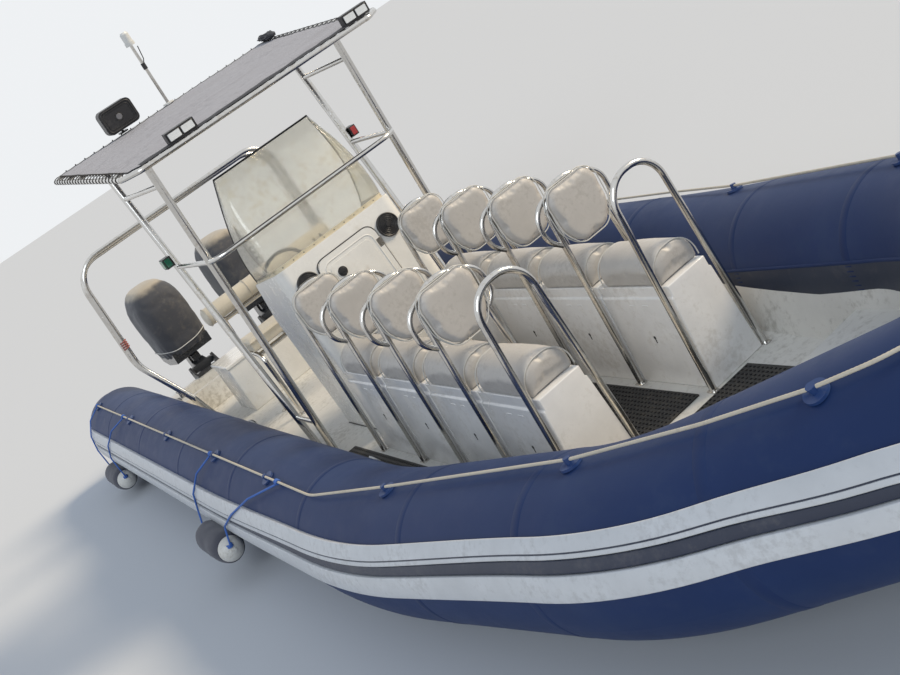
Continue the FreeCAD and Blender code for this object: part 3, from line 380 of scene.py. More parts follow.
# Walkway mats: black moulded rubber with rows of drain holes, cut to length
# and laid loose on the sole between and beside the seats.
GEOMETRY, LENGTH, WHOLE = "NodeSocketGeometry", "NodeSocketFloat", "NodeSocketInt"
ARROW = "NodeSocketVector"


def geometry_tree(name, inputs):
    return group_with(name, inputs, [("Geometry", GEOMETRY)], "GeometryNodeTree")


def geometry(tree, kind, values=None, wires=None):
    return node(tree, "GeometryNode" + kind, values, wires).outputs[0]


def together(tree, *parts):
    joint = node(tree, "GeometryNodeJoinGeometry")
    for part in parts:
        tree.links.new(part, joint.inputs[0])
    return joint.outputs[0]


def evaluated(holder):
    """The mesh that an object's modifiers make, without the object."""
    bpy.context.view_layer.update()
    mesh = bpy.data.meshes.new_from_object(holder.evaluated_get(bpy.context.evaluated_depsgraph_get()))
    bpy.data.objects.remove(holder)
    mesh.materials.clear()
    return mesh


def grown(name, tree, values, material, body="boat", replaces=(), points=(), facing=(),
        crease=35):
    """A piece made by a Geometry Nodes tree, turned into a plain mesh."""
    base = plain_mesh(name + "_base", points)
    if facing:
        arrows = base.attributes.new("facing", "FLOAT_VECTOR", "POINT")
        arrows.data.foreach_set("vector", [c for f in facing for c in f])
    holder = in_scene(name + "_base", base)
    modifier = holder.modifiers.new("Grow", "NODES")
    modifier.node_group = tree
    sockets = {s.name: s.identifier for s in tree.interface.items_tree if s.in_out == "INPUT"}
    for key, value in values.items():
        modifier[sockets[key]] = value
    return settle(name, evaluated(holder), material, body, replaces, crease)


mat_tree, given, result = geometry_tree("Perforated mat", [
    ("Length", LENGTH, 1.0), ("Width", LENGTH, 0.3), ("Thickness", LENGTH, 0.009), ("Pitch", LENGTH, 0.028),
    ("Hole Radius", LENGTH, 0.008), ("Columns", WHOLE, 10), ("Rows", WHOLE, 10), ("Place", ARROW, (0, 0, 0)),
])
border = geometry(mat_tree, "CurvePrimitiveQuadrilateral", None,
    {"Width": given["Length"], "Height": given["Width"]})
hole = geometry(mat_tree, "CurvePrimitiveCircle", {"Resolution": 8}, {"Radius": given["Hole Radius"]})


def times_pitch(count):
    return reckon(mat_tree, "MULTIPLY", reckon(mat_tree, "SUBTRACT", count, 1.0), given["Pitch"])


lattice = geometry(mat_tree, "MeshGrid", None, {"Size X": times_pitch(given["Columns"]),
    "Size Y": times_pitch(given["Rows"]), "Vertices X": given["Columns"], "Vertices Y": given["Rows"]})
holes = geometry(mat_tree, "InstanceOnPoints", None, {"Points": lattice, "Instance": hole})
outlines = together(mat_tree, border, geometry(mat_tree, "RealizeInstances", None, {0: holes}))
filled = geometry(mat_tree, "FillCurve", None, {0: outlines})
raised = geometry(mat_tree, "ExtrudeMesh", {"Individual": False},
    {"Mesh": filled, "Offset Scale": given["Thickness"]})
whole = together(mat_tree, raised, geometry(mat_tree, "FlipFaces", None, {0: filled}))
welded = geometry(mat_tree, "MergeByDistance", {"Distance": 0.0001}, {0: whole})
moved = geometry(mat_tree, "Transform", None, {"Geometry": welded, "Translation": given["Place"]})
mat_tree.links.new(geometry(mat_tree, "SetMaterial", None, {0: moved}), result[0])

mat_rubber = finish("Black mat rubber", (0.016, 0.016, 0.017), 0.6, stain=(0.09, 0.08, 0.065), amount=0.5,
    patch=5.0, grain=700.0, spread=0.25)
MATS = (
    # name, x from, x to, y from, y to
    ("aisle", 0.250, 2.440, -0.185, 0.185),
    ("bow", 2.540, 3.100, -0.430, 0.430),
    ("port", -0.100, 2.200, 0.632, 0.696),
    ("starboard", -0.100, 2.200, -0.696, -0.632),
)
MAT_PITCH = 0.028
for label, x0, x1, y0, y1 in MATS:
    grown("floor_mat_" + label, mat_tree, {
        "Length": x1 - x0, "Width": y1 - y0, "Pitch": MAT_PITCH,
        "Columns": int((x1 - x0) / MAT_PITCH), "Rows": int((y1 - y0) / MAT_PITCH),
        "Place": ((x0 + x1) / 2, (y0 + y1) / 2, 0.300),
    }, mat_rubber, replaces="floor_mats" if label == "aisle" else ())

# Seat pods: white moulded boxes in two rows, with a stepped shoulder under
# each cushion. The mouldings have soft edges and are bonded to the sole.


def softened(name, node, material, width, body="boat", segments=3, angle=25):
    """The CAD solid again with rounded edges."""
    mesh = nodes[node].data.copy()
    shape = bmesh.new()
    shape.from_mesh(mesh)
    bmesh.ops.remove_doubles(shape, verts=shape.verts, dist=0.00005)
    bmesh.ops.dissolve_limit(shape, angle_limit=radians(1), verts=shape.verts, edges=shape.edges)
    sharp = [e for e in shape.edges if len(e.link_faces) == 2 and e.calc_face_angle(0) > radians(angle)]
    bmesh.ops.bevel(shape, geom=sharp, offset=width, segments=segments, profile=0.5, affect="EDGES",
        clamp_overlap=True)
    bmesh.ops.triangulate(shape, faces=[f for f in shape.faces if len(f.verts) > 4])
    shape.to_mesh(mesh)
    shape.free()
    mesh.materials.clear()
    return settle(name, mesh, material, body, node, crease=40)


pod_gel = finish("White pod gelcoat", (0.76, 0.75, 0.73), 0.24, stain=(0.38, 0.34, 0.28), amount=0.35,
    patch=3.0, grain=45.0, depth=0.0003, bump=0.12, Coat_Weight=0.35, Coat_Roughness=0.12)
for row in ("port", "starboard"):
    softened("pods_" + row, "seat_pods_" + row, pod_gel, 0.009)

# Seat cushions: foam saddles upholstered in pale grey vinyl, an arched panel
# wrapped over the top and two end panels sewn in with a welt.
vinyl = finish("Pale grey vinyl", (0.48, 0.455, 0.42), 0.42, stain=(0.24, 0.22, 0.19), amount=0.35,
    patch=5.0, grain=520.0, depth=0.0006, bump=0.5, Sheen_Weight=0.08)
welt_vinyl = finish("Pale welt", (0.55, 0.54, 0.50), 0.4, amount=0.2, patch=9.0, bump=0.2)
SEAT_ROWS = (("port", 0.410), ("starboard", -0.410))
PITCH, FRONT_X, POD_TOP, SOLE_Z = 0.555, 2.500, 0.840, 0.300


def stuffed(name, points, faces, voxel, cap, pressure=4.0):
    """A foam-filled cover: swollen by a short cloth simulation, then fixed."""
    made = in_scene(name, plain_mesh(name, points, faces))
    bpy.context.view_layer.objects.active = made
    remesh = made.modifiers.new("Remesh", "REMESH")
    remesh.mode, remesh.voxel_size = "VOXEL", voxel
    bpy.ops.object.modifier_apply(modifier="Remesh")
    start = [v.co.copy() for v in made.data.vertices]
    cloth = made.modifiers.new("Cloth", "CLOTH")
    cloth.settings.use_pressure = True
    cloth.settings.uniform_pressure_force = pressure
    cloth.settings.effector_weights.gravity = 0
    cloth.settings.quality = 4
    cloth.settings.tension_stiffness = 12
    for step in range(1, 21):
        scene.frame_set(step)
    bpy.ops.object.modifier_apply(modifier="Cloth")
    scene.frame_set(1)
    for vertex, from_where in zip(made.data.vertices, start):
        way = vertex.co - from_where
        if way.length > cap:
            vertex.co = from_where + way * (cap / way.length)
    smooth = made.modifiers.new("Smooth", "SMOOTH")
    smooth.iterations = 3
    bpy.ops.object.modifier_apply(modifier="Smooth")
    mesh = made.data
    bpy.data.objects.remove(made)
    return mesh


def copied(name, mesh, shift, material, body="boat", replaces=(), turn=None):
    """The mesh again at another place."""
    again = mesh.copy()
    if turn:
        again.transform(turn)
    again.transform(Matrix.Translation(shift))
    again.materials.clear()
    return settle(name, again, material, body, replaces, crease=60)


def along_line(line, joined=False):
    """Each point of a line with two directions across it that turn with the line."""
    side = None
    for i, point in enumerate(line):
        after = line[(i + 1) % len(line) if joined else min(i + 1, len(line) - 1)]
        ahead = (after - line[i - 1 if joined else max(i - 1, 0)]).normalized()
        side = side or ahead.orthogonal().normalized()
        side = (side - ahead * side.dot(ahead)).normalized()
        yield point, side, ahead.cross(side)


def round_bar(line, radius, sides, joined):
    return skin([[point + (side * cos(a) + other * sin(a)) * radius for a in turns(sides)]
        for point, side, other in along_line(line, joined)], joined=joined)


def tube(line, radius, sides=10):
    """Points and faces of a capped round bar along the line."""
    return round_bar(line, radius, sides, False)


def ring_tube(line, radius, sides=10):
    """The same round a closed line."""
    return round_bar(line, radius, sides, True)


def arch_profile(half, high, low=0.0, steps=18):
    """Half-round saddle outline in (y, z): straight sides, arched top."""
    reach = min(half * 0.92, high - 0.02)
    out = [(half, low)]
    for i in range(steps + 1):
        a = pi * i / steps
        y = (half - reach) * (1 if cos(a) > 0 else -1) * min(1, abs(cos(a)) * 8) + reach * cos(a)
        out.append((y, high - reach + reach * sin(a) ** 0.9))
    out.append((-half, low))
    return out


def saddle(x0, x1, half, high, inset=0.004):
    """The cushion's starting form between two end panels."""
    return skin([[vec(x, y, z) for y, z in arch_profile(half - inset - shrink, high - inset - shrink,
        0.002)] for x, shrink in ((x0, 0.012), (x0 + 0.014, 0.0), (x1 - 0.014, 0.0), (x1, 0.012))])


CUSHION_HALF, CUSHION_HIGH = 0.136, 0.150
CUSHION_GAP = 0.0703
CUSHION_LONG = PITCH - CUSHION_GAP - 0.024
cushion_form = stuffed("cushion_form", *saddle(0.006, CUSHION_LONG - 0.006, CUSHION_HALF, CUSHION_HIGH),
    0.006, 0.009)
for row, row_y in SEAT_ROWS:
    for k in range(4):
        back = FRONT_X - (k + 1) * PITCH + CUSHION_GAP
        made = copied("seat_cushion_%s_%d" % (row, k + 1), cushion_form, (back, row_y, POD_TOP + 0.0005),
            vinyl, replaces="seat_cushions_" + row if k == 0 else ())
        welts = []
        for x in (back + 0.011, back + CUSHION_LONG - 0.011):
            line = [vec(x, row_y + y, POD_TOP + z) for y, z in arch_profile(CUSHION_HALF - 0.0035,
                CUSHION_HIGH - 0.0035, 0.006, 28)]
            welts.append(tube(line, 0.0032, 8))
        piece("seat_welt_%s_%d" % (row, k + 1), welts, welt_vinyl)

# Seat hoops: polished stainless tube bent in one arch a seat, a grab handle
# welded on either side, and a bolted foot plate under each leg.


def polished(name, colour=(0.62, 0.61, 0.59), rough=0.16):
    return finish(name, colour, rough, stain=(0.36, 0.31, 0.25), amount=0.5, patch=6.0, grain=240.0,
        depth=0.0001, spread=0.16, bump=0.08, Metallic=1.0, Anisotropic=0.3)


stainless = polished("Polished stainless tube")
dress(("seat_hoops_port", "seat_hoops_starboard", "canopy_legs", "canopy_frame", "helm_seat_frame",
    "stern_arch", "cleats", "bow_eye"), stainless)

bolt_tree, given, result = geometry_tree("Bolt heads", [("Geometry", GEOMETRY), ("Radius", LENGTH, 0.006),
    ("Height", LENGTH, 0.004), ("Sides", WHOLE, 6)])
head = geometry(bolt_tree, "MeshCylinder", None, {"Vertices": given["Sides"], "Radius": given["Radius"],
    "Depth": given["Height"]})
half_up = reckon(bolt_tree, "MULTIPLY", given["Height"], 0.5)
lifted = node(bolt_tree, "CombineXYZ", None, {"Z": half_up}).outputs[0]
standing = geometry(bolt_tree, "Transform", None, {"Geometry": head, "Translation": lifted})
facing = node(bolt_tree, "GeometryNodeInputNamedAttribute", {"Name": "facing"}, data_type="FLOAT_VECTOR")
aimed = node(bolt_tree, "FunctionNodeAlignRotationToVector", None, {"Vector": facing.outputs[0]}, axis="Z")
placed = geometry(bolt_tree, "InstanceOnPoints", None, {"Points": given["Geometry"], "Instance": standing,
    "Rotation": aimed.outputs[0]})
solid = geometry(bolt_tree, "RealizeInstances", None, {0: placed})
bolt_tree.links.new(geometry(bolt_tree, "SetMaterial", None, {0: solid}), result[0])
bolt_steel = polished("Bolt steel", (0.50, 0.49, 0.47), 0.25)


def bolts(name, places, radius, height, body="boat", sides=6, material=None):
    """Bolt heads at (point, facing) places."""
    return grown(name, bolt_tree, {"Radius": radius, "Height": height, "Sides": sides},
        material or bolt_steel, body, points=[p for p, f in places], facing=[f for p, f in places])


foot_bolts = [((FRONT_X - k * PITCH + dx, row_y + s * 0.185, SOLE_Z + 0.006), UP)
    for row, row_y in SEAT_ROWS for k in range(5) for s in (-1, 1) for dx in (-0.023, 0.023)]
bolts("hoop_foot_bolts", foot_bolts, 0.005, 0.004)

# Backrest pads: shield-shaped foam boards in the same vinyl, strapped to the
# after side of each hoop, with a crowned face and a sewn welt on both rims.
PAD_OUTLINE = ((-0.092, -0.318), (0.092, -0.318), (0.159, -0.222), (0.165, -0.054), (0.121, 0.0),
    (-0.121, 0.0), (-0.165, -0.054), (-0.159, -0.222))


def smooth_loop(corners, rounding, steps=7):
    """A closed outline with its corners rounded; each corner gives steps + 1 points."""
    line = []
    count = len(corners)
    for i in range(count):
        before, corner, after = (Vector(corners[(i + d) % count]) for d in (-1, 0, 1))
        back, ahead = before - corner, after - corner
        cut = min(rounding, back.length * 0.48, ahead.length * 0.48)
        first, last = corner + back.normalized() * cut, corner + ahead.normalized() * cut
        for j in range(steps + 1):
            t = j / steps
            line.append(first * (1 - t) ** 2 + corner * (2 * t * (1 - t)) + last * t * t)
    return line


def shrunk(outline, pull):
    """The outline drawn in towards its middle."""
    middle = sum(outline, vec(0, 0)) / len(outline)
    return [middle + (p - middle) * (1 - pull / (p - middle).length) for p in outline]


def board(outline, depth, shrink=0.004, edge=0.010):
    """A flat pad form along +X from its outline in (y, z)."""
    return skin([[vec(x, *p) for p in shrunk(outline, pull)] for x, pull in ((shrink, edge), (edge, shrink),
        (depth - edge, shrink), (depth - shrink, edge))])


pad_loop = smooth_loop([Vector(c) for c in PAD_OUTLINE], 0.045)
PAD_DEPTH = 0.050
pad_mesh = stuffed("pad_form", *board(pad_loop, PAD_DEPTH), 0.006, 0.010)
for row, row_y in SEAT_ROWS:
    for k in range(1, 5):
        x = FRONT_X - k * PITCH + 0.0165
        top = SOLE_Z + 1.091
        made = copied("backrest_pad_%s_%d" % (row, k), pad_mesh, (x, row_y, top), vinyl,
            replaces="backrest_pads_" + row if k == 1 else ())
        rims = []
        for dx in (0.009, PAD_DEPTH - 0.009):
            rims.append(ring_tube([vec(x + dx, row_y + p.x, top + p.y) for p in shrunk(pad_loop, 0.0035)],
                0.0032, 8))
        piece("backrest_welt_%s_%d" % (row, k), rims, welt_vinyl)


# Console: white moulded shell with a raked front face. A black gasket lies in
# the hatch opening, and the foot is bedded on a dark bead of sealant.
RAKE = math.atan((-0.015 - 0.120) / (1.478 - 0.300))
FACE_OUT = vec(cos(RAKE), 0, -sin(RAKE))
FACE_UP = vec(sin(RAKE), 0, cos(RAKE))
ACROSS = vec(0, 1, 0)
FACE = (ACROSS, FACE_UP)


def on_face(y, z, off=0.0):
    return vec(0.120 + (z - 0.300) * math.tan(RAKE), y, z) + FACE_OUT * off


def disc(radius, steps=32):
    return [vec(cos(a), sin(a)) * radius for a in turns(steps)]


def round_rect(wide, high, bend, steps=7):
    w, h = wide / 2, high / 2
    return smooth_loop([(-w, -h), (w, -h), (w, h), (-w, h)], bend, steps)


def laid(outline, origin, across, upward, off=0.0):
    """A flat outline placed on a face, held off it."""
    out = across.cross(upward)
    return [origin + across * p.x + upward * p.y + out * off for p in outline]


def rim(outline, origin, across, upward, off, thick):
    """A thin round bead along an outline on a face."""
    return ring_tube(laid(outline, origin, across, upward, off), thick, 8)


def plaque(outline, origin, across, upward, depth, bevel=0.001, off=0.0):
    """A plate with a bevelled rim standing on a face."""
    flats = ((outline, 0.0), (outline, depth - bevel), (shrunk(outline, bevel), depth))
    return skin([laid(flat, origin, across, upward, off + high) for flat, high in flats])


console_gel = finish("White console gelcoat", (0.77, 0.755, 0.71), 0.26, stain=(0.45, 0.40, 0.31),
    amount=0.35, patch=2.0, grain=40.0, depth=0.0004, bump=0.12, Coat_Weight=0.35, Coat_Roughness=0.12)
black_rubber = finish("Black rubber trim", (0.012, 0.012, 0.013), 0.5, stain=(0.07, 0.065, 0.06), patch=6.0,
    grain=600.0, bump=0.2)
black_plastic = finish("Black moulded plastic", (0.016, 0.016, 0.018), 0.38, stain=(0.09, 0.085, 0.08),
    patch=6.0, grain=700.0, bump=0.25)
dress(("console",), console_gel)
HATCH_Z = 1.0975
gasket = rim(round_rect(0.452, 0.603, 0.072), on_face(0, HATCH_Z), *FACE, 0.0032, 0.0030)
piece("hatch_gasket", gasket, black_rubber)
foot_bead = rounded([(-0.562, 0.4565, 0.303), (0.1215, 0.4565, 0.303), (0.1215, -0.4565, 0.303),
    (-0.562, -0.4565, 0.303)], 0.071)
piece("console_bead", tube(foot_bead, 0.0035, 8), black_rubber)

# Console hatch: moulded panel with a raised border, hung on two barrel hinges
# and closed with a round turning latch.
hatch_at = on_face(0, HATCH_Z)
LATCH_Y, LATCH_Z = -0.100, 1.262
HINGE_Y, HINGE_Z = 0.209, (0.930, 1.265)
dress(("console_hatch",), console_gel)
border = rim(round_rect(0.372, 0.520, 0.060), hatch_at, *FACE, 0.0118, 0.0042)
inset = plaque(round_rect(0.322, 0.470, 0.045), hatch_at, *FACE, 0.0022, 0.0012, 0.0121)
piece("hatch_border", [border, inset], console_gel, body="hatch")
latch_at = on_face(LATCH_Y, LATCH_Z)
latch_ring = plaque(disc(0.031), latch_at, *FACE, 0.006, 0.002, 0.0142)
latch_core = plaque(disc(0.022), latch_at, *FACE, 0.009, 0.002, 0.0142)
latch_grip = plaque(round_rect(0.036, 0.009, 0.004), latch_at, *FACE, 0.005, 0.001, 0.0230)
piece("hatch_latch", [latch_ring, latch_core, latch_grip], black_plastic, body="hatch")
hinges = []
for z in HINGE_Z:
    pin_at = on_face(0.2285, z, 0.0063)
    hinges.append(tube([pin_at - FACE_UP * 0.032, pin_at + FACE_UP * 0.032], 0.0055, 16))
    leaf = plaque(round_rect(0.034, 0.056, 0.006), on_face(HINGE_Y, z), *FACE, 0.0022, 0.0006, 0.0124)
    hinges.append(leaf)
piece("hatch_hinges", hinges, stainless, body="hatch")
hatch_screws = [(on_face(HINGE_Y + dy, z + dz, 0.0146), FACE_OUT) for z in HINGE_Z for dy in (-0.008, 0.008)
    for dz in (-0.017, 0.017)]
bolts("hatch_screws", hatch_screws, 0.0032, 0.0016, body="hatch", sides=12)

# Seat pod details: on the starboard side of each moulding a dark keyhole mark
# and, under the step, two short raised slots.
POD_SIDE = ((0.300, 0.163), (0.780, 0.134))  # height and half width of the tapered sides
POD_UP = vec(0, POD_SIDE[0][1] - POD_SIDE[1][1], POD_SIDE[1][0] - POD_SIDE[0][0]).normalized()
AHEAD = vec(1, 0, 0)


def on_pod(x, row_y, z):
    (low, wide), (high, slim) = POD_SIDE
    return vec(x, row_y - wide - (slim - wide) * (z - low) / (high - low), z)


keyholes, slots = [], []
for row, row_y in SEAT_ROWS:
    for k in range(4):
        x = FRONT_X - (k + 0.5) * PITCH
        for outline, z, depth in ((disc(0.0085), 0.566, 0.0012),
                (round_rect(0.0075, 0.028, 0.002), 0.550, 0.0010)):
            keyholes.append(plaque(outline, on_pod(x, row_y, z), AHEAD, POD_UP, depth, 0.0004, 0.0002))
        slots += [plaque(round_rect(0.046, 0.008, 0.0039), on_pod(x + dx, row_y, 0.742), AHEAD, POD_UP,
            0.0030, 0.0014, -0.0004) for dx in (-0.050, 0.050)]
piece("pod_keyholes", keyholes, black_plastic)
piece("pod_slots", slots, pod_gel)

# Loudspeakers: black plastic discs with a rolled rim, a ribbed grille and a
# centre cap, set on the console's front face on either side of the hatch.
dress(("console_speakers",), black_plastic)
grilles = []
for y in (-0.318, 0.318):
    at = on_face(y, 1.321)
    for radius, thick, off in ((0.0705, 0.0048, 0.0150), (0.058, 0.0018, 0.0150), (0.047, 0.0018, 0.0156),
            (0.036, 0.0018, 0.0160), (0.025, 0.0018, 0.0162)):
        grilles.append(rim(disc(radius, 48), at, *FACE, off, thick))
    for turn in range(12):
        a = pi * turn / 6
        way = ACROSS * cos(a) + FACE_UP * sin(a)
        start = at + FACE_OUT * 0.0165 + way * 0.012
        grilles.append(tube([start, at + FACE_OUT * 0.0148 + way * 0.068], 0.0015, 6))
    grilles.append(plaque(disc(0.017), at, *FACE, 0.006, 0.002, 0.0140))
piece("speaker_grilles", grilles, black_plastic)

# Windscreen: one sheet of clear acrylic heated and wrapped round the console's
# brow, with rubber edging and a flange bedded down with screws.
# The sheet's warm yellow colour and its yellow stain patches are painted sunlight glowing in the acrylic.
sun_glow_acrylic = finish("Clear acrylic with painted sun glow", (0.88, 0.86, 0.77), 0.09, stain=(0.78, 0.72, 0.56), amount=0.7, patch=1.8,
    grain=90.0, bump=0.03, IOR=1.45, Transmission_Weight=0.86)
SCREEN_FOOT = ((-0.500, 0.440), (-0.325, 0.4385), (-0.150, 0.436), (-0.080, 0.422), (-0.045, 0.385),
    (-0.036, 0.320), (-0.034, 0.160), (-0.034, 0.0))
SCREEN_HEAD = ((-0.262, 0.366), (-0.256, 0.3645), (-0.250, 0.362), (-0.243, 0.352), (-0.239, 0.338),
    (-0.236, 0.300), (-0.235, 0.150), (-0.235, 0.0))
SCREEN_TOP = 2.124
BROW_SLOPE = (1.418 - 1.478) / (-0.520 + 0.015)


def screen_point(i, share, inward=0.0):
    """Point on the screen; columns run from the port edge round to the starboard edge."""
    last = len(SCREEN_FOOT) - 1
    j, side = (i, 1) if i <= last else (2 * last - i, -1)
    (fx, fy), (hx, hy) = SCREEN_FOOT[j], SCREEN_HEAD[j]
    foot_z = 1.4784 + (fx + 0.015) * BROW_SLOPE
    out = 0.046 * sin(pi * share ** 0.85) * (fy / 0.44) ** 2
    x = fx + (hx - fx) * share + 0.016 * sin(pi * share) - inward * min(1.0, 0.2 + j / 4)
    y = fy + (hy - fy) * share + out - inward * max(0.0, 1 - j / 4)
    return vec(x, y * side, foot_z + (SCREEN_TOP - foot_z) * share)


SCREEN_COLUMNS, SCREEN_ROWS, SCREEN_THICK = 2 * len(SCREEN_FOOT) - 1, 18, 0.006
across_screen = range(SCREEN_COLUMNS)
sheet_rows = [[screen_point(i, row / SCREEN_ROWS) for i in across_screen]
    + [screen_point(i, row / SCREEN_ROWS, SCREEN_THICK) for i in reversed(across_screen)]
    for row in range(SCREEN_ROWS + 1)]
points, faces = skin(sheet_rows, caps=False)
for base in (0, SCREEN_ROWS * 2 * SCREEN_COLUMNS):
    faces += [(base + i, base + i + 1, base + 2 * SCREEN_COLUMNS - 2 - i, base + 2 * SCREEN_COLUMNS - 1 - i)
        for i in range(SCREEN_COLUMNS - 1)]
piece("screen_sheet", (points, faces), sun_glow_acrylic, replaces="windscreen", crease=50)
edge_line = [screen_point(0, row / SCREEN_ROWS, 0.003) for row in range(SCREEN_ROWS + 1)]
edge_line += [screen_point(i, 1.0, 0.003) for i in range(1, SCREEN_COLUMNS)]
edge_line += [screen_point(SCREEN_COLUMNS - 1, 1 - row / SCREEN_ROWS, 0.003)
    for row in range(1, SCREEN_ROWS + 1)]
piece("screen_edging", tube(even_points(edge_line, 0.012), 0.0062, 10), black_rubber, crease=60)
flange_tan = finish("Aged screen flange", (0.62, 0.55, 0.40), 0.42, stain=(0.35, 0.27, 0.16), amount=0.5,
    patch=4.0, grain=300.0)
FLANGE = ((0.0, -0.006), (0.0, 0.026), (-0.0028, 0.026), (-0.0028, -0.006))
foot_line = even_points([screen_point(i, 0.0) for i in across_screen], 0.02)


def away_from_console(i):
    ahead = foot_line[min(i + 1, len(foot_line) - 1)] - foot_line[max(i - 1, 0)]
    outward = ahead.cross(UP).normalized()
    return outward if outward.dot(foot_line[i] - vec(-0.3, 0, foot_line[i].z)) > 0 else -outward


flange = skin([[point + away_from_console(i) * (0.0032 + off) + vec(0, 0, high) for off, high in FLANGE]
    for i, point in enumerate(foot_line)])
piece("screen_flange", flange, flange_tan)
flange_screws = [(foot_line[i] + away_from_console(i) * 0.003 + vec(0, 0, 0.013), away_from_console(i))
    for i in range(2, len(foot_line) - 2, 4)]
bolts("flange_screws", flange_screws, 0.0038, 0.0018, sides=12, material=black_plastic)

# Dash and steering wheel: black sloping panel with two instruments, rocker
# switches and the throttle; the wheel turns on a steel hub cap.
DASH_LEAN = math.atan2(-0.520 + 0.600, 1.418 - 1.150)
DASH_OUT = vec(-cos(DASH_LEAN), 0, sin(DASH_LEAN))
DASH_UP = vec(sin(DASH_LEAN), 0, cos(DASH_LEAN))
DASH = (-ACROSS, DASH_UP)


def on_dash(y, share, off=0.0):
    return vec(-0.600 + 0.080 * share, y, 1.150 + 0.268 * share) + DASH_OUT * off


wheel_rubber = finish("Wheel rim rubber", (0.018, 0.018, 0.019), 0.5, amount=0.2, grain=500.0, depth=0.0006)
glass = finish("Instrument glass", (0.02, 0.025, 0.03), 0.08, amount=0.1, bump=0.02, Coat_Weight=0.6,
    grain=400.0)
dress(("dash_panel",), black_plastic)
dress(("steering_wheel",), wheel_rubber)
gauges, rims = [], []
for y, share, radius in ((-0.03, 0.66, 0.045), (0.05, 0.34, 0.034), (-0.055, 0.34, 0.034)):
    at = on_dash(y, share)
    gauges.append(plaque(disc(radius), at, *DASH, 0.004, 0.001, 0.0095))
    rims.append(rim(disc(radius, 40), at, *DASH, 0.0125, 0.004))
screen_at = on_dash(0.275, 0.55)
gauges.append(plaque(round_rect(0.170, 0.120, 0.008), screen_at, *DASH, 0.005, 0.001, 0.0095))
rims.append(rim(round_rect(0.180, 0.130, 0.010), screen_at, *DASH, 0.0125, 0.005))
for i in range(6):
    rims.append(plaque(round_rect(0.018, 0.034, 0.003), on_dash(-0.335 + 0.026 * i, 0.84), *DASH, 0.006,
        0.002, 0.0098))
piece("dash_glasses", gauges, glass)
piece("dash_rims", rims, black_plastic)
cap = plaque(disc(0.026), on_dash(-0.200, 0.5), *DASH, 0.006, 0.003, 0.1198)
piece("wheel_cap", cap, stainless, body="wheel")

# Canopy: grey cloth laced inside a sloping tube frame, over three cross
# braces. The hem is doubled, and black cord runs round the tubes.
SLOPE = radians(5.5)
CANOPY_FRONT, CANOPY_AFT, HOOP_Z, RAIL_Y = 0.300, -1.540, 2.430, 0.919


def canopy(x, y, off=0.0):
    """Point over the canopy's frame, given as if the canopy lay level."""
    ahead = x - CANOPY_FRONT
    return vec(CANOPY_FRONT + ahead * cos(SLOPE) + off * sin(SLOPE), y,
        HOOP_Z - ahead * sin(SLOPE) + off * cos(SLOPE))


CANOPY_OUT = (canopy(0, 0, 1) - canopy(0, 0)).normalized()
CANOPY_AHEAD = (canopy(1, 0) - canopy(0, 0)).normalized()
FORWARD = (ACROSS, CANOPY_OUT)


def thickened(name, points, faces, thickness):
    """The surface as cloth with a real thickness."""
    holder = in_scene(name + "_base", plain_mesh(name, points, faces))
    solid = holder.modifiers.new("Thickness", "SOLIDIFY")
    solid.thickness, solid.offset = thickness, 0.0
    return evaluated(holder)


canopy_grey = finish("Grey canopy cloth", (0.250, 0.250, 0.280), 0.72, stain=(0.12, 0.12, 0.14), amount=0.6,
    patch=2.4, grain=1100.0, depth=0.0005, spread=0.15, bump=0.5, Sheen_Weight=0.3)
hem_black = finish("Black hem tape", (0.016, 0.017, 0.022), 0.6, stain=(0.05, 0.05, 0.06), patch=5.0,
    depth=0.0005)
black_cord = finish("Black lacing cord", (0.014, 0.014, 0.016), 0.65, patch=9.0)
CLOTH_X = (-1.492, 0.262)
CLOTH_HALF, EYELET_PITCH = 0.872, 0.075
CLOTH_COLUMNS, CLOTH_ROWS = 132, 132


def uneven(x, y, z):
    return noise.noise(vec(x, y, z))


def cloth_height(x, y):
    """Height of the laced cloth over the middle of the frame's tubes."""
    edge = min(x - CLOTH_X[0], CLOTH_X[1] - x, CLOTH_HALF - abs(y))
    pull = max(0.0, 1 - max(edge, 0.0) / 0.10)
    wave = uneven(x * 3.1, y * 1.7, 4.2) * 0.008 + uneven(x * 9, y * 3.3, 1.1) * 0.0032
    fold = 0.0060 * max(0.0, sin(9.0 * x + 3.2 * y + 2.5 * uneven(x * 2, y * 2, 9))) ** 6
    pucker = 0.0018 * pull * cos(2 * pi * (y if abs(y) < CLOTH_HALF - edge - 1e-6 else x) / EYELET_PITCH)
    return 0.0205 + (wave + fold) * (1 - 0.6 * pull) + pucker - 0.006 * pull


def cloth_edge(along, which):
    """How far the laced edge draws in between two eyelets."""
    return 0.007 * abs(sin(pi * along / EYELET_PITCH)) + 0.006 * uneven(along * 4, which, 2)


grid = []
for i in range(CLOTH_COLUMNS + 1):
    row = []
    for j in range(CLOTH_ROWS + 1):
        u, v = i / CLOTH_COLUMNS, j / CLOTH_ROWS * 2 - 1
        y = v * CLOTH_HALF
        x = CLOTH_X[0] + (CLOTH_X[1] - CLOTH_X[0]) * u
        x += cloth_edge(y, 1) * max(0, 1 - 12 * u) - cloth_edge(y, 2) * max(0, 12 * u - 11)
        trim = cloth_edge(x, 3) * max(0, 12 * abs(v) - 11)
        chamfer = max(0.0, x - (CANOPY_FRONT - 0.115)) * max(0.0, abs(v) - 0.6) / 0.4
        y = (1 if v > 0 else -1) * (abs(y) - trim - chamfer * 0.75)
        row.append(canopy(x, y, cloth_height(x, y)))
    grid.append(row)
cloth_mesh = thickened("canopy_sheet", *skin(grid, caps=False, closed=False), 0.0014)
canopy_sheet = settle("canopy_sheet", cloth_mesh, canopy_grey,
    replaces="canopy_cloth", crease=60)
rim_loop = [row[0] for row in grid] + grid[-1][1:] + [row[-1] for row in reversed(grid[:-1])]
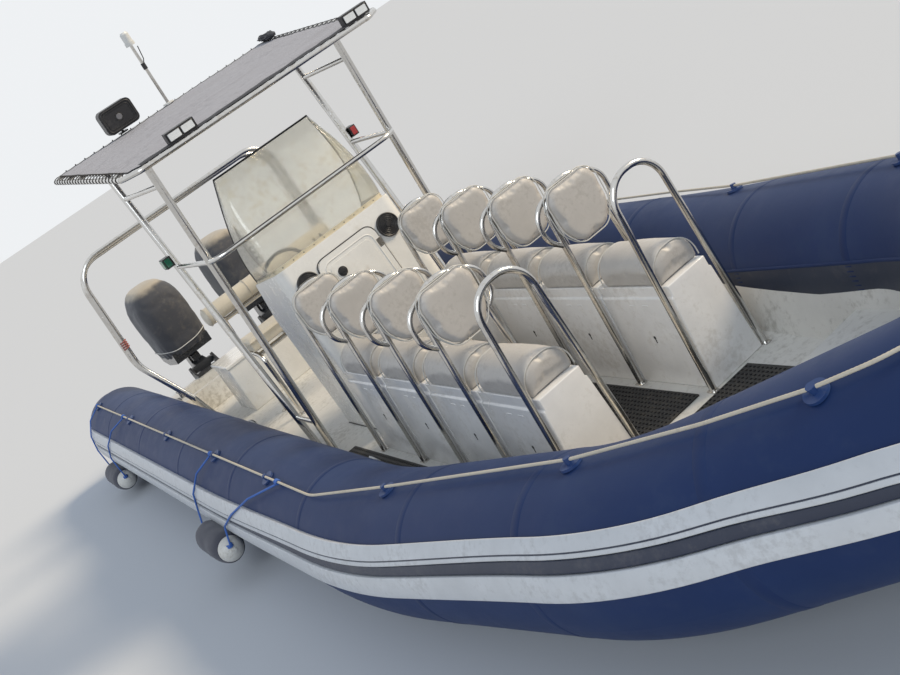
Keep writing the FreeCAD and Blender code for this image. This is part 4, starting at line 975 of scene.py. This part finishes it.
rim_loop += list(reversed(grid[0][1:-1]))
hem = ring_tube([p - CANOPY_OUT * 0.0004 for p in rim_loop], 0.0048, 8)
hem_piece = piece("canopy_hem", hem, hem_black, crease=60)
lacing = []


def lace(start, end, outward, reach):
    """Cord that spirals between the hem and the tube beside it."""
    span = (end - start).length
    turns = round(span / EYELET_PITCH)
    line = []
    for i in range(turns * 16 + 1):
        t = i / (turns * 16)
        a = 2 * pi * t * turns
        middle = start.lerp(end, t) + outward * (reach / 2)
        line.append(middle - outward * (cos(a) * (reach / 2 + 0.012)) + CANOPY_OUT
            * (0.0215 * sin(a) + 0.0015))
    lacing.append(tube(line, 0.0026, 6))


for side in (1, -1):
    lace(canopy(CLOTH_X[0] + 0.03, side * (CLOTH_HALF - 0.004)), canopy(0.17, side * (CLOTH_HALF - 0.004)),
        vec(0, side, 0), RAIL_Y + 0.010 - CLOTH_HALF)
lace(canopy(CLOTH_X[0] + 0.004, -0.83), canopy(CLOTH_X[0] + 0.004, 0.83), -CANOPY_AHEAD,
    CLOTH_X[0] - CANOPY_AFT + 0.010)
lace_piece = piece("canopy_lacing", lacing, black_cord, crease=70)
# A black strip along the canopy's front edge: partly the hem, and partly painted shade of the cloth's edge
# in its wide, ragged after edge.
HEM_SHADE = ((0.240, 0.0262), (0.256, 0.0264), (0.270, 0.0256), (0.283, 0.0232), (0.294, 0.0200))
HEM_SHADE_HALF, HEM_SHADE_STEPS = 0.806, 160
lines = []
for j in range(HEM_SHADE_STEPS + 1):
    y = HEM_SHADE_HALF * (2 * j / HEM_SHADE_STEPS - 1)
    frayed = 0.018 * uneven(y * 4.0, 0.7, 6.5) + 0.005 * uneven(y * 17, 3.1, 2.5)
    line = []
    for i, (x, off) in enumerate(HEM_SHADE):
        loose = 1 - i / (len(HEM_SHADE) - 1)
        line.append(canopy(x + frayed * loose, y, off + 0.003 * uneven(y * 11, i, 1.5) * loose))
    lines.append(line)
hem_and_shade_mesh = thickened("canopy_hem_and_shade", *skin(lines, caps=False, closed=False), 0.0016)
hem_and_shade = settle("canopy_hem_and_shade", hem_and_shade_mesh, hem_black, crease=60)
BUNCH_STEPS = 24
rings = []
for i in range(BUNCH_STEPS + 1):
    along = i / BUNCH_STEPS
    full = sin(pi * min(max(along, 0.02), 0.98)) ** 0.5
    ring = []
    for a in turns(24):
        bulge = 1 + 0.55 * uneven(along * 5.5, cos(a) * 1.3, sin(a) * 1.3)
        bulge -= 0.22 * abs(sin(4.5 * a + 7 * along)) ** 3
        ring.append(canopy(-1.525 + 0.30 * along, 0.868 + 0.050 * full * bulge * cos(a),
            0.0500 + 0.026 * full * bulge * sin(a)))
    rings.append(ring)
bunch = piece("canopy_bunched_end", skin(rings), hem_black, crease=70)
bands = []
for point, way in ((canopy(0.175, 0.919), CANOPY_AHEAD), (canopy(0.175, -0.919), CANOPY_AHEAD),
        (canopy(0.300, 0.795), ACROSS), (canopy(0.300, -0.795), ACROSS),
        (canopy(-0.70, 0.919), CANOPY_AHEAD), (canopy(-0.70, -0.919), CANOPY_AHEAD)):
    bands.append(tube([point - way * 0.011, point + way * 0.011], 0.0172, 24))
piece("canopy_joint_bands", bands, stainless)


def plate_bolts(name, stations, half, reach, z):
    """Four bolts on each round foot plate, at the stations on either side."""
    places = [((x + reach * cos(a), side * half + reach * sin(a), z), UP) for x in stations
        for side in (1, -1) for a in (0.785, 2.356, 3.927, 5.498)]
    bolts(name, places, 0.004, 0.003)


plate_bolts("leg_bolts", (-0.215, -0.500), 0.726, 0.031, 0.3082)

# Canopy fittings: two lamp bars, a square loudhailer, a mast light with a
# small wire stay, and red and green side lights.
dress(("lamp_bars", "loudhailer", "side_lights"), black_plastic)
lens_white = finish("Frosted lamp lens", (0.72, 0.74, 0.74), 0.2, amount=0.1, bump=0.15, Coat_Weight=0.3)
lens_red = finish("Red lens", (0.42, 0.018, 0.020), 0.12, amount=0.05, bump=0.05, Coat_Weight=0.5,
    grain=400.0)
lens_green = finish("Green lens", (0.010, 0.13, 0.065), 0.12, amount=0.05, bump=0.05, Coat_Weight=0.5,
    grain=400.0)
white_plastic = finish("White fitting plastic", (0.66, 0.66, 0.63), 0.35, stain=(0.35, 0.33, 0.28),
    patch=8.0, grain=300.0)
dress(("mast_light", "air_valves"), white_plastic)
worn_grey = finish("Scuffed grey plastic", (0.16, 0.16, 0.17), 0.5, patch=9.0, grain=500.0)
CLOTH_TOP = 0.0246
lenses, frames = [], []
for y in (-0.510, 0.757):
    for part in (-0.0445, 0.0445):
        at = canopy(0.284, y + part, CLOTH_TOP + 0.031)
        lenses.append(plaque(round_rect(0.076, 0.042, 0.006), at, *FORWARD, 0.004, 0.0015, 0.0002))
        frames.append(rim(round_rect(0.082, 0.048, 0.008), at, *FORWARD, 0.0018, 0.0028))
piece("lamp_lenses", lenses, lens_white)
piece("lamp_frames", frames, black_plastic)
horn_at = canopy(-1.360, -0.340, CLOTH_TOP + 0.118)
horn = [rim(round_rect(0.222, 0.144, 0.034), horn_at, *FORWARD, 0.0010, 0.0055),
    rim(round_rect(0.190, 0.112, 0.026), horn_at, *FORWARD, 0.0006, 0.0025),
    rim(disc(0.026, 40), horn_at, *FORWARD, 0.0010, 0.0030)]
piece("loudhailer_rim", horn, black_rubber)
piece("loudhailer_boss", plaque(disc(0.021), horn_at, *FORWARD, 0.005, 0.002), worn_grey)


def on_mast(high, ahead=0.0, over=0.0):
    return canopy(-1.480 + ahead, 0.030 + over, CLOTH_TOP + high)


stay = [tube([on_mast(0.30, 0.010), on_mast(0.34, 0.050, 0.010), on_mast(0.43, 0.078, 0.014)], 0.0035, 8),
    tube([on_mast(0.27), on_mast(0.315)], 0.0155, 20)]
mast_tube = tube([on_mast(0.012), on_mast(0.452)], 0.0116, 20)
piece("mast_clamp", stay, black_plastic)
piece("mast_tube", mast_tube, stainless)
light_band = ring_tube([on_mast(0.472) + (CANOPY_AHEAD * cos(a) + ACROSS * sin(a)) * 0.0308
    for a in turns(32)], 0.003, 8)
piece("mast_light_band", light_band, black_plastic)
for side, colour, label in ((1, lens_red, "port"), (-1, lens_green, "starboard")):
    lamp_at = vec(-0.778, side * 0.778, 1.826)
    glass_face = plaque(round_rect(0.038, 0.056, 0.008), lamp_at + vec(0.0452, 0, 0), ACROSS, UP, 0.006,
        0.003)
    glass_side = plaque(round_rect(0.070, 0.056, 0.008), lamp_at + vec(0, side * 0.0252, 0),
        vec(-side, 0, 0), UP, 0.006, 0.003)
    piece("side_lens_" + label, [glass_face, glass_side], colour)


# Helm seat: cream bench cushion and a round bolster on a bent tube frame, the
# vinyl panelled with sewn welts and bleached by the sun.
cream_vinyl = finish("Cream bolster vinyl", (0.58, 0.53, 0.43), 0.42, stain=(0.34, 0.28, 0.19), amount=0.45,
    patch=3.5, grain=480.0, depth=0.0006, bump=0.5, Sheen_Weight=0.08)
cream_welt = finish("Cream welt", (0.50, 0.46, 0.38), 0.45, amount=0.2, patch=9.0, bump=0.2)


def block(x0, x1, y0, y1, z0, z1):
    points = [vec(x, y, z) for z in (z0, z1) for y in (y0, y1) for x in (x0, x1)]
    return points, [(0, 2, 3, 1), (4, 5, 7, 6), (0, 1, 5, 4), (2, 6, 7, 3), (0, 4, 6, 2), (1, 3, 7, 5)]


BENCH = (-1.756, -1.424, 0.8705, 0.9555)
for k, (y0, y1) in enumerate(((-0.516, -0.002), (0.002, 0.516))):
    mesh = stuffed("bench_form", *block(BENCH[0] + 0.006, BENCH[1] - 0.006, y0 + 0.006, y1 - 0.006,
        BENCH[2] + 0.004, BENCH[3] - 0.008), 0.009, 0.012)
    made = copied("helm_bench_%d" % (k + 1), mesh, (0, 0, 0), cream_vinyl,
        replaces="helm_seat_cushions" if k == 0 else ())
    welts = []
    for z in (BENCH[2] + 0.012, BENCH[3] - 0.012):
        loop = smooth_loop([(BENCH[0] + 0.004, y0 + 0.004), (BENCH[1] - 0.004, y0 + 0.004),
            (BENCH[1] - 0.004, y1 - 0.004), (BENCH[0] + 0.004, y1 - 0.004)], 0.020)
        welts.append(ring_tube([vec(p.x, p.y, z) for p in loop], 0.0032, 8))
    piece("helm_bench_welt_%d" % (k + 1), welts, cream_welt)
BOLSTER_X, BOLSTER_Z = -1.772, 1.2213
BOLSTER_ENDS = ((0.586, 0.050), (0.582, 0.062), (0.572, 0.069), (0.545, 0.0705))
stations = [(-y, r) for y, r in BOLSTER_ENDS]
stations += [(-0.5 + 0.05 * i, 0.0705) for i in range(21)] + [(y, r) for y, r in reversed(BOLSTER_ENDS)]


def bolster_ring(y, radius, sides):
    return [vec(BOLSTER_X + radius * cos(a), y, BOLSTER_Z + radius * sin(a)) for a in turns(sides)]


points, faces = skin([bolster_ring(y, r, 28) for y, r in stations])
bolster_mesh = stuffed("bolster_form", points, faces, 0.009, 0.004, pressure=2.0)
bolster = copied("helm_bolster", bolster_mesh, (0, 0, 0), cream_vinyl)
rings = [ring_tube(bolster_ring(y, 0.0722, 36), 0.0034, 8) for y in (-0.566, -0.2, 0.2, 0.566)]
piece("helm_bolster_welts", rings, cream_welt)

# Stern arch: polished tube hoops with a webbing tie wrapped on the starboard
# side, and bolted feet.
webbing = finish("Faded red webbing", (0.30, 0.085, 0.07), 0.7, stain=(0.20, 0.12, 0.09), amount=0.5,
    patch=9.0, grain=1200.0, depth=0.0008, bump=0.5)
wraps = []
for k in range(4):
    z = 1.205 + 0.019 * k
    lean = vec(-3.010 + 0.053 * (z - 1.020), -0.985 + 0.037 * (z - 1.020), z)
    wraps.append(ring_tube([lean + vec(0.0255 * cos(a), 0.0255 * sin(a), 0.005 * sin(a))
        for a in turns(28)], 0.0062, 8))
piece("arch_tie", wraps, webbing)
plate_bolts("arch_bolts", (-2.900, -3.020), 0.728, 0.0295, 0.3062)

# Stern locker: gelcoat box with a hinged lid, moulded with soft edges, and a
# pressed steel catch that closes on a keeper.
softened("locker_box", "stern_locker", console_gel, 0.006)
softened("locker_lid_top", "locker_lid", console_gel, 0.003, body="lid", angle=60)
catch = plaque(round_rect(0.070, 0.026, 0.006), vec(-2.2852, 0, 0.716), ACROSS, UP, 0.005, 0.0015)
piece("lid_catch", catch, stainless, body="lid")
keeper = plaque(round_rect(0.050, 0.040, 0.006), vec(-2.2998, 0, 0.672), ACROSS, UP, 0.006, 0.0015)
piece("locker_keeper", keeper, stainless)

# Outboard engines: dark castings on clamp brackets, each with a lower unit, a
# steel propeller and a hydraulic tilt ram between the cheeks.
engine_paint = finish("Dark engine paint", (0.026, 0.028, 0.033), 0.26, stain=(0.11, 0.11, 0.10),
    amount=0.35, patch=3.0, grain=220.0, bump=0.1, Coat_Weight=0.4)
bracket_paint = finish("Cast bracket paint", (0.036, 0.038, 0.042), 0.34, stain=(0.16, 0.16, 0.15),
    amount=0.4, patch=5.0, grain=260.0, bump=0.25)
ENGINE_X, ENGINE_Y = -3.925, 0.400
SIDES = (("port", 1), ("starboard", -1))
prop_steel = polished("Propeller steel", (0.52, 0.50, 0.46), 0.2)
dress(("engine_brackets",), bracket_paint)
for side_name, side in SIDES:
    y = ENGINE_Y * side
    softened("swivel_" + side_name, "engine_swivel_" + side_name, bracket_paint, 0.004,
        body="tilt_" + side_name)
    dress(("engine_" + side_name,), engine_paint)
    dress(("propeller_" + side_name,), prop_steel)
    leg_lines = [tube([vec(-4.131, y + s * 0.0505, z), vec(-3.990, y + s * 0.0522, z)], 0.0022, 6)
        for z in (-0.12, 0.12, 0.42) for s in (-1, 1)]
    piece("leg_ribs_" + side_name, leg_lines, engine_paint, body="motor_" + side_name)
    pump = plaque(round_rect(0.085, 0.040, 0.010), vec(-4.070, y - 0.0515, 0.02), AHEAD, UP, 0.004, 0.001)
    piece("water_intake_" + side_name, pump, bracket_paint, body="motor_" + side_name)
clamps = [(vec(-3.7662, side * ENGINE_Y + dy, z), (-1, 0, 0)) for side in (1, -1) for dy in (-0.075, 0.075)
    for z in (0.20, 0.30)]
bolts("bracket_bolts", clamps, 0.010, 0.008)

# Engine covers: dark cloth hoods, turning pale warm beige towards the top, drawn in under the cowl by an
# elastic hem, with a white bungee round each.
cover_cloth = finish("Engine cover cloth", (0.040, 0.042, 0.050), 0.72, stain=(0.16, 0.14, 0.11),
    amount=0.35, patch=2.6, grain=950.0, depth=0.0006, spread=0.15, bump=0.5, Sheen_Weight=0.25)
tree = cover_cloth.node_tree
worn = tree.nodes["Worn"]
# Above a ragged line near the top, the cloth's colour turns pale warm beige.
spot = node(tree, "TexCoord").outputs["Object"]
height = node(tree, "SeparateXYZ", None, {0: spot}).outputs["Z"]
ragged = node(tree, "TexNoise", {"Scale": 5.0, "Detail": 4.0}, {"Vector": spot}).outputs[0]
level = reckon(tree, "MULTIPLY_ADD", ragged, 0.10, height)
high = node(tree, "MapRange", {"From Min": 1.395, "From Max": 1.450}, {"Value": level},
    interpolation_type="SMOOTHSTEP").outputs[0]
paler_top = node(tree, "Mix", {6: (0.040, 0.042, 0.050, 1), 7: (0.40, 0.35, 0.27, 1)}, {0: high},
    data_type="RGBA").outputs[2]
tree.links.new(paler_top, worn.inputs["Colour"])
bungee_white = finish("White bungee", (0.62, 0.61, 0.57), 0.6, patch=9.0)
HOOD = (
    # height, forward reach, after reach, half width
    (0.752, 0.152, 0.482, 0.203), (0.768, 0.162, 0.492, 0.213), (0.820, 0.171, 0.503, 0.224),
    (0.900, 0.175, 0.511, 0.230), (1.000, 0.178, 0.518, 0.234), (1.100, 0.176, 0.517, 0.233),
    (1.190, 0.170, 0.513, 0.229), (1.250, 0.160, 0.504, 0.221), (1.300, 0.143, 0.486, 0.207),
    (1.345, 0.118, 0.455, 0.186), (1.380, 0.088, 0.418, 0.160), (1.403, 0.060, 0.382, 0.134),
    (1.417, 0.022, 0.335, 0.102), (1.424, -0.030, 0.275, 0.066), (1.427, -0.100, 0.200, 0.028),
)
HOOD_SIDES, ALONG_POWER, SIDE_POWER = 128, 0.55, 0.62


def squarish(share, power):
    return math.copysign(abs(share) ** power, share)


def hood_point(level, turn, seed):
    z, ahead, aft, half = level
    c, s = cos(turn), sin(turn)
    middle = (ahead - aft) / 2
    x = middle + (ahead + aft) / 2 * squarish(c, ALONG_POWER)
    y = half * squarish(s, SIDE_POWER)
    way = vec(x - middle, y, 0).normalized()
    low = max(0.0, 1 - (z - HOOD[0][0]) / 0.16)
    crease = uneven(x * 5, y * 5, z * 3.0 + seed) * 0.008
    crease += uneven(x * 16, y * 16, z * 5 + seed) * 0.0028
    crease -= 0.007 * max(0.0, sin(3 * z * 6 + 2 * turn + 4 * uneven(x * 3, y * 3, seed))) ** 8
    crease += low * 0.006 * sin(turn * 22 + seed)
    drop = uneven(x * 4, y * 4, seed + 5) * (0.006 if z > 1.3 else 0.0)
    return vec(ENGINE_X + x, y, z + drop) + way * (crease - 0.003)


for side_name, side in SIDES:
    seed = 3.0 + 7 * side
    levels = []
    for a, b in zip(HOOD, HOOD[1:]):
        steps = 3 if b[0] - a[0] > 0.04 else 2
        levels += [tuple(p + (q - p) * t / steps for p, q in zip(a, b)) for t in range(steps)]
    levels.append(HOOD[-1])
    rings = [[hood_point(level, a, seed) + vec(0, ENGINE_Y * side, 0) for a in turns(HOOD_SIDES)]
        for level in levels]
    points, faces = skin(rings, caps=False)
    faces.append(tuple((len(levels) - 1) * HOOD_SIDES + j for j in range(HOOD_SIDES)))
    mesh = thickened("cover", points, faces, 0.0022)
    cover = settle("cover_" + side_name, mesh, cover_cloth, body="motor_" + side_name,
        replaces="engine_cover_" + side_name, crease=60)
    ahead, aft, half = HOOD[2][1:]
    bungee = [vec(ENGINE_X + (ahead - aft) / 2 + ((ahead + aft) / 2 + 0.004)
        * squarish(cos(t), ALONG_POWER), ENGINE_Y * side + (half + 0.004) * squarish(sin(t), SIDE_POWER),
        0.815 + 0.012 * sin(3 * t + side)) for t in turns(160)]
    cord = piece("cover_bungee_" + side_name, ring_tube(bungee, 0.0045, 8), bungee_white,
        body="motor_" + side_name, crease=70)
    cuff = piece("cover_hem_" + side_name, ring_tube(rings[0], 0.0055, 8), cover_cloth,
        body="motor_" + side_name, crease=70)

# Lifeline: cream three-strand rope round the collar, held off it by moulded
# rubber patches that are glued to the cloth.
rope_cream = finish("Cream rope", (0.58, 0.53, 0.43), 0.7, stain=(0.36, 0.32, 0.25), amount=0.45, patch=6.0,
    grain=1100.0, depth=0.0006, bump=0.5)
rope_blue = finish("Blue rope", (0.040, 0.125, 0.42), 0.65, stain=(0.12, 0.17, 0.34), amount=0.4, patch=8.0,
    grain=1100.0, depth=0.0006, bump=0.5)
patch_rubber = finish("Patch rubber", (0.015, 0.045, 0.155), 0.45, stain=(0.05, 0.07, 0.14), patch=7.0,
    grain=700.0, bump=0.3)
dress(("line_patches",), patch_rubber)


def collar_at(x):
    """The collar's frame where its middle line passes x, port side."""
    half = collar_frames[:len(collar_frames) // 2 + 1]
    for a, b in zip(half, half[1:]):
        if a[0].x <= x <= b[0].x:
            t = (x - a[0].x) / (b[0].x - a[0].x)
            return tuple(p.lerp(q, t) for p, q in zip(a, b))
    return half[0]


def beside_collar(x, angle, out, side=1):
    place = on_collar(collar_at(x), angle, out)
    return vec(place.x, place.y * side, place.z)


def stranded(line, radius, lay_length, sides=12):
    """Three-strand rope: a tube whose lobes wind round the line."""
    line = even_points(line, lay_length / 9)
    rings, gone = [], 0.0
    for i, (point, side, other) in enumerate(along_line(line)):
        gone += (point - line[i - 1]).length if i else 0.0
        lobes = [0.87 + 0.13 * abs(cos(1.5 * (a - 2 * pi * gone / lay_length))) for a in turns(sides)]
        rings.append([point + (side * cos(a) + other * sin(a)) * (radius * lobe)
            for a, lobe in zip(turns(sides), lobes)])
    return skin(rings)


LINE_ANGLE, LINE_OUT = 67, 0.026
LINE_TURNS = ((1.350, 67), (2.100, 83), (2.780, 87), (3.450, 90), (4.050, 80), (4.400, 71), (4.560, 71),
    (4.700, 72))
reach = COLLAR_R + LINE_OUT
bow_a = radians(LINE_TURNS[-1][1])
bow_point = vec(4.760 + reach * cos(bow_a), 0, 0.900 + reach * sin(bow_a))
half_line = [beside_collar(-4.200, LINE_ANGLE, LINE_OUT)]
half_line += [beside_collar(x, angle, LINE_OUT) for x, angle in LINE_TURNS]
half_line += [bow_point + vec(0, 0.190, 0), bow_point]
half_line = rounded(half_line, [0.6] * 6 + [0.3, 0.06, 0.06], 12)
port_rope = stranded(half_line, 0.0066, 0.040)
other_rope = stranded([vec(p.x, -p.y, p.z) for p in half_line], 0.0066, 0.040)
piece("lifeline_port", port_rope, rope_cream, replaces="lifelines", crease=80)
piece("lifeline_starboard", other_rope, rope_cream, crease=80)

# Fenders: two ball-ended air fenders in dark cloth covers, each slung on two
# blue ropes that are hitched round the lifeline.
fender_cloth = finish("Fender cover cloth", (0.020, 0.024, 0.045), 0.7, stain=(0.09, 0.09, 0.10),
    amount=0.4, patch=4.0, depth=0.0006, bump=0.5, Sheen_Weight=0.2)
fender_white = finish("White fender end", (0.62, 0.61, 0.57), 0.4, stain=(0.28, 0.26, 0.21), amount=0.5,
    patch=8.0, grain=500.0)
FENDER_R, SLING_START, SLING_OUT = 0.105, LINE_ANGLE - 2.6, 0.0413
FENDERS = (
    # x, drop below the collar's middle line, x of its two ropes on the lifeline
    (-3.900, 0.240, (-4.170, -3.050)),
    (-0.450, 0.150, (-0.430, 0.850)),
)


def turned(profile, x, y, z, sides=48, ripple=0.0):
    """Body turned about a line along X from (along, radius) steps."""
    rings = []
    for along, radius in profile:
        reaches = [radius + ripple * uneven(along * 9, cos(a) * 1.6, sin(a) * 1.6 + x)
            for a in turns(sides)]
        rings.append([vec(x + along, y + r * cos(a), z + r * sin(a))
            for a, r in zip(turns(sides), reaches)])
    return skin(rings)


bag_profile = [(-0.246, 0.0800), (-0.247, 0.0860), (-0.238, 0.0895), (-0.215, 0.0970), (-0.190, 0.1020)]
bag_profile += [(-0.17 + 0.02 * i, 0.1040) for i in range(18)]
bag_profile += [(-a, r) for a, r in reversed(bag_profile[:5])]
ball_profile = [(0.235 + 0.074 * sin(t), max(0.004, 0.083 * cos(t)))
    for t in [pi / 2 * i / 12 for i in range(-3, 13)]]
slings, hitches = [], []
for k, (x, drop, tops) in enumerate(FENDERS, 1):
    y = -(COLLAR_Y + sqrt((COLLAR_R + FENDER_R + 0.004) ** 2 - drop ** 2))
    z = COLLAR_Z - drop
    bag = piece("fender_%d" % k, turned(bag_profile, x, y, z, ripple=0.004), fender_cloth,
        replaces="fenders" if k == 1 else (), crease=60)
    ends = []
    for way in (-1, 1):
        ball = [(way * a, r) for a, r in ball_profile]
        ends.append(turned(ball if way > 0 else list(reversed(ball)), x, y, z, 40))
        ears = [(way * 0.296, 0.023), (way * 0.3125, 0.021), (way * 0.3135, 0.018)]
        ends.append(turned(ears if way > 0 else list(reversed(ears)), x, y, z, 24))
    piece("fender_ends_%d" % k, ends, fender_white)
    for way, top_x in zip((-1, 1), tops):
        low_x = x + way * 0.300
        over = [(SLING_START, LINE_OUT), (44, SLING_OUT), (22, SLING_OUT), (0, SLING_OUT)]
        line = [beside_collar(top_x + (low_x - top_x) * (1 - angle / SLING_START), angle, out, -1)
            for angle, out in over]
        end = vec(low_x, y, z + 0.027)
        slings.append(stranded(rounded(line + [end], 0.040), 0.0063, 0.034))
        top = beside_collar(top_x, LINE_ANGLE, LINE_OUT, -1)
        for turn in (-0.013, 0.0, 0.013):
            hitches.append(ring_tube([top + vec(turn + 0.003 * sin(a), 0.0118 * cos(a), 0.0118 * sin(a))
                for a in turns(24)], 0.0052, 8))
        for turn in (0.0, 0.012):
            hitches.append(ring_tube([end + vec(0.0155 * cos(a), 0.0155 * sin(a), 0.004 + turn)
                for a in turns(24)], 0.0058, 8))
piece("fender_slings", slings, rope_blue, replaces="fender_lines", crease=80)
piece("fender_hitches", hitches, rope_blue, crease=80)

# Inflation valves: white plastic discs on the collar's upper inner side, each
# closed by a black cap with a raised grip bar.
valves = []
for x in (1.100, -1.000, -3.000):
    for side in (1, -1):
        a = radians(150)
        outward = vec(0, side * cos(a), sin(a))
        at = vec(x, side * COLLAR_Y, COLLAR_Z) + outward * (COLLAR_R + 0.0092)
        upward = AHEAD * side
        across = upward.cross(outward)
        valves.append(plaque(disc(0.021), at, across, upward, 0.004, 0.0015))
        valves.append(plaque(round_rect(0.030, 0.007, 0.003), at, across, upward, 0.007, 0.001))
piece("valve_caps", valves, black_plastic)


# Stand-in ground at the water line, studio light and the camera at the
# photograph's angle. The ground is pale, and the boat's shadow falls on it.
ground_mesh = plain_mesh("ground", [(-60, -60, 0), (60, -60, 0), (60, 60, 0), (-60, 60, 0)], [(0, 1, 2, 3)])
ground = in_scene("ground", ground_mesh)
ground_paint = bpy.data.materials.new("Pale ground")
ground_paint.use_nodes = True
for key, value in (("Base Color", (0.62, 0.64, 0.66, 1)), ("Roughness", 0.9), ("Specular IOR Level", 0.0)):
    ground_paint.node_tree.nodes["Principled BSDF"].inputs[key].default_value = value
ground_mesh.materials.append(ground_paint)

sky = bpy.data.worlds.new("Studio")
scene.world = sky
sky.use_nodes = True
tree = sky.node_tree
lit = tree.nodes["Background"]
lit.inputs["Color"].default_value = (0.78, 0.86, 1.0, 1)
lit.inputs["Strength"].default_value = 0.50
shown = node(tree, "Background", {"Color": (0.86, 0.88, 0.90, 1), "Strength": 1.0})
path = node(tree, "LightPath")
seen = path.outputs["Is Camera Ray"]
for ray in ("Is Glossy Ray", "Is Transmission Ray"):
    seen = reckon(tree, "ADD", seen, path.outputs[ray], use_clamp=True)
mixed = node(tree, "MixShader", None, {0: seen, 1: lit.outputs[0], 2: shown.outputs[0]})
tree.links.new(mixed.outputs[0], tree.nodes["World Output"].inputs["Surface"])


def sun(name, place, angle, power, colour):
    """Even light from far off in the direction of a place."""
    light = bpy.data.lights.new(name, "SUN")
    light.angle, light.energy, light.color = radians(angle), power, colour
    made = in_scene(name, light)
    made.location = place
    made.rotation_euler = (-Vector(place)).to_track_quat("-Z", "Y").to_euler()


sun("Warm key", (3.5, 8.0, 6.0), 18, 3.0, (1.0, 0.84, 0.62))
sun("Cool fill", (8.0, -7.0, 6.0), 30, 1.0, (0.84, 0.92, 1.0))

AZIMUTH, ELEVATION, ROLL = (radians(a) for a in (68.872, 16.799, -33.176))
backward = vec(sin(AZIMUTH) * cos(ELEVATION), -cos(AZIMUTH) * cos(ELEVATION), sin(ELEVATION))
level_right = (-backward).cross(UP).normalized()
level_up = level_right.cross(-backward)
right = level_right * cos(ROLL) + level_up * sin(ROLL)
up = level_up * cos(ROLL) - level_right * sin(ROLL)
eye = bpy.data.cameras.new("Camera")
eye.lens, eye.sensor_width = 47.95, 36.0
camera = in_scene("Camera", eye)
camera.matrix_world = Matrix(((right.x, up.x, backward.x, 6.830), (right.y, up.y, backward.y, -2.383),
    (right.z, up.z, backward.z, 2.704), (0, 0, 0, 1)))
scene.camera = camera
scene.view_settings.view_transform = "Standard"
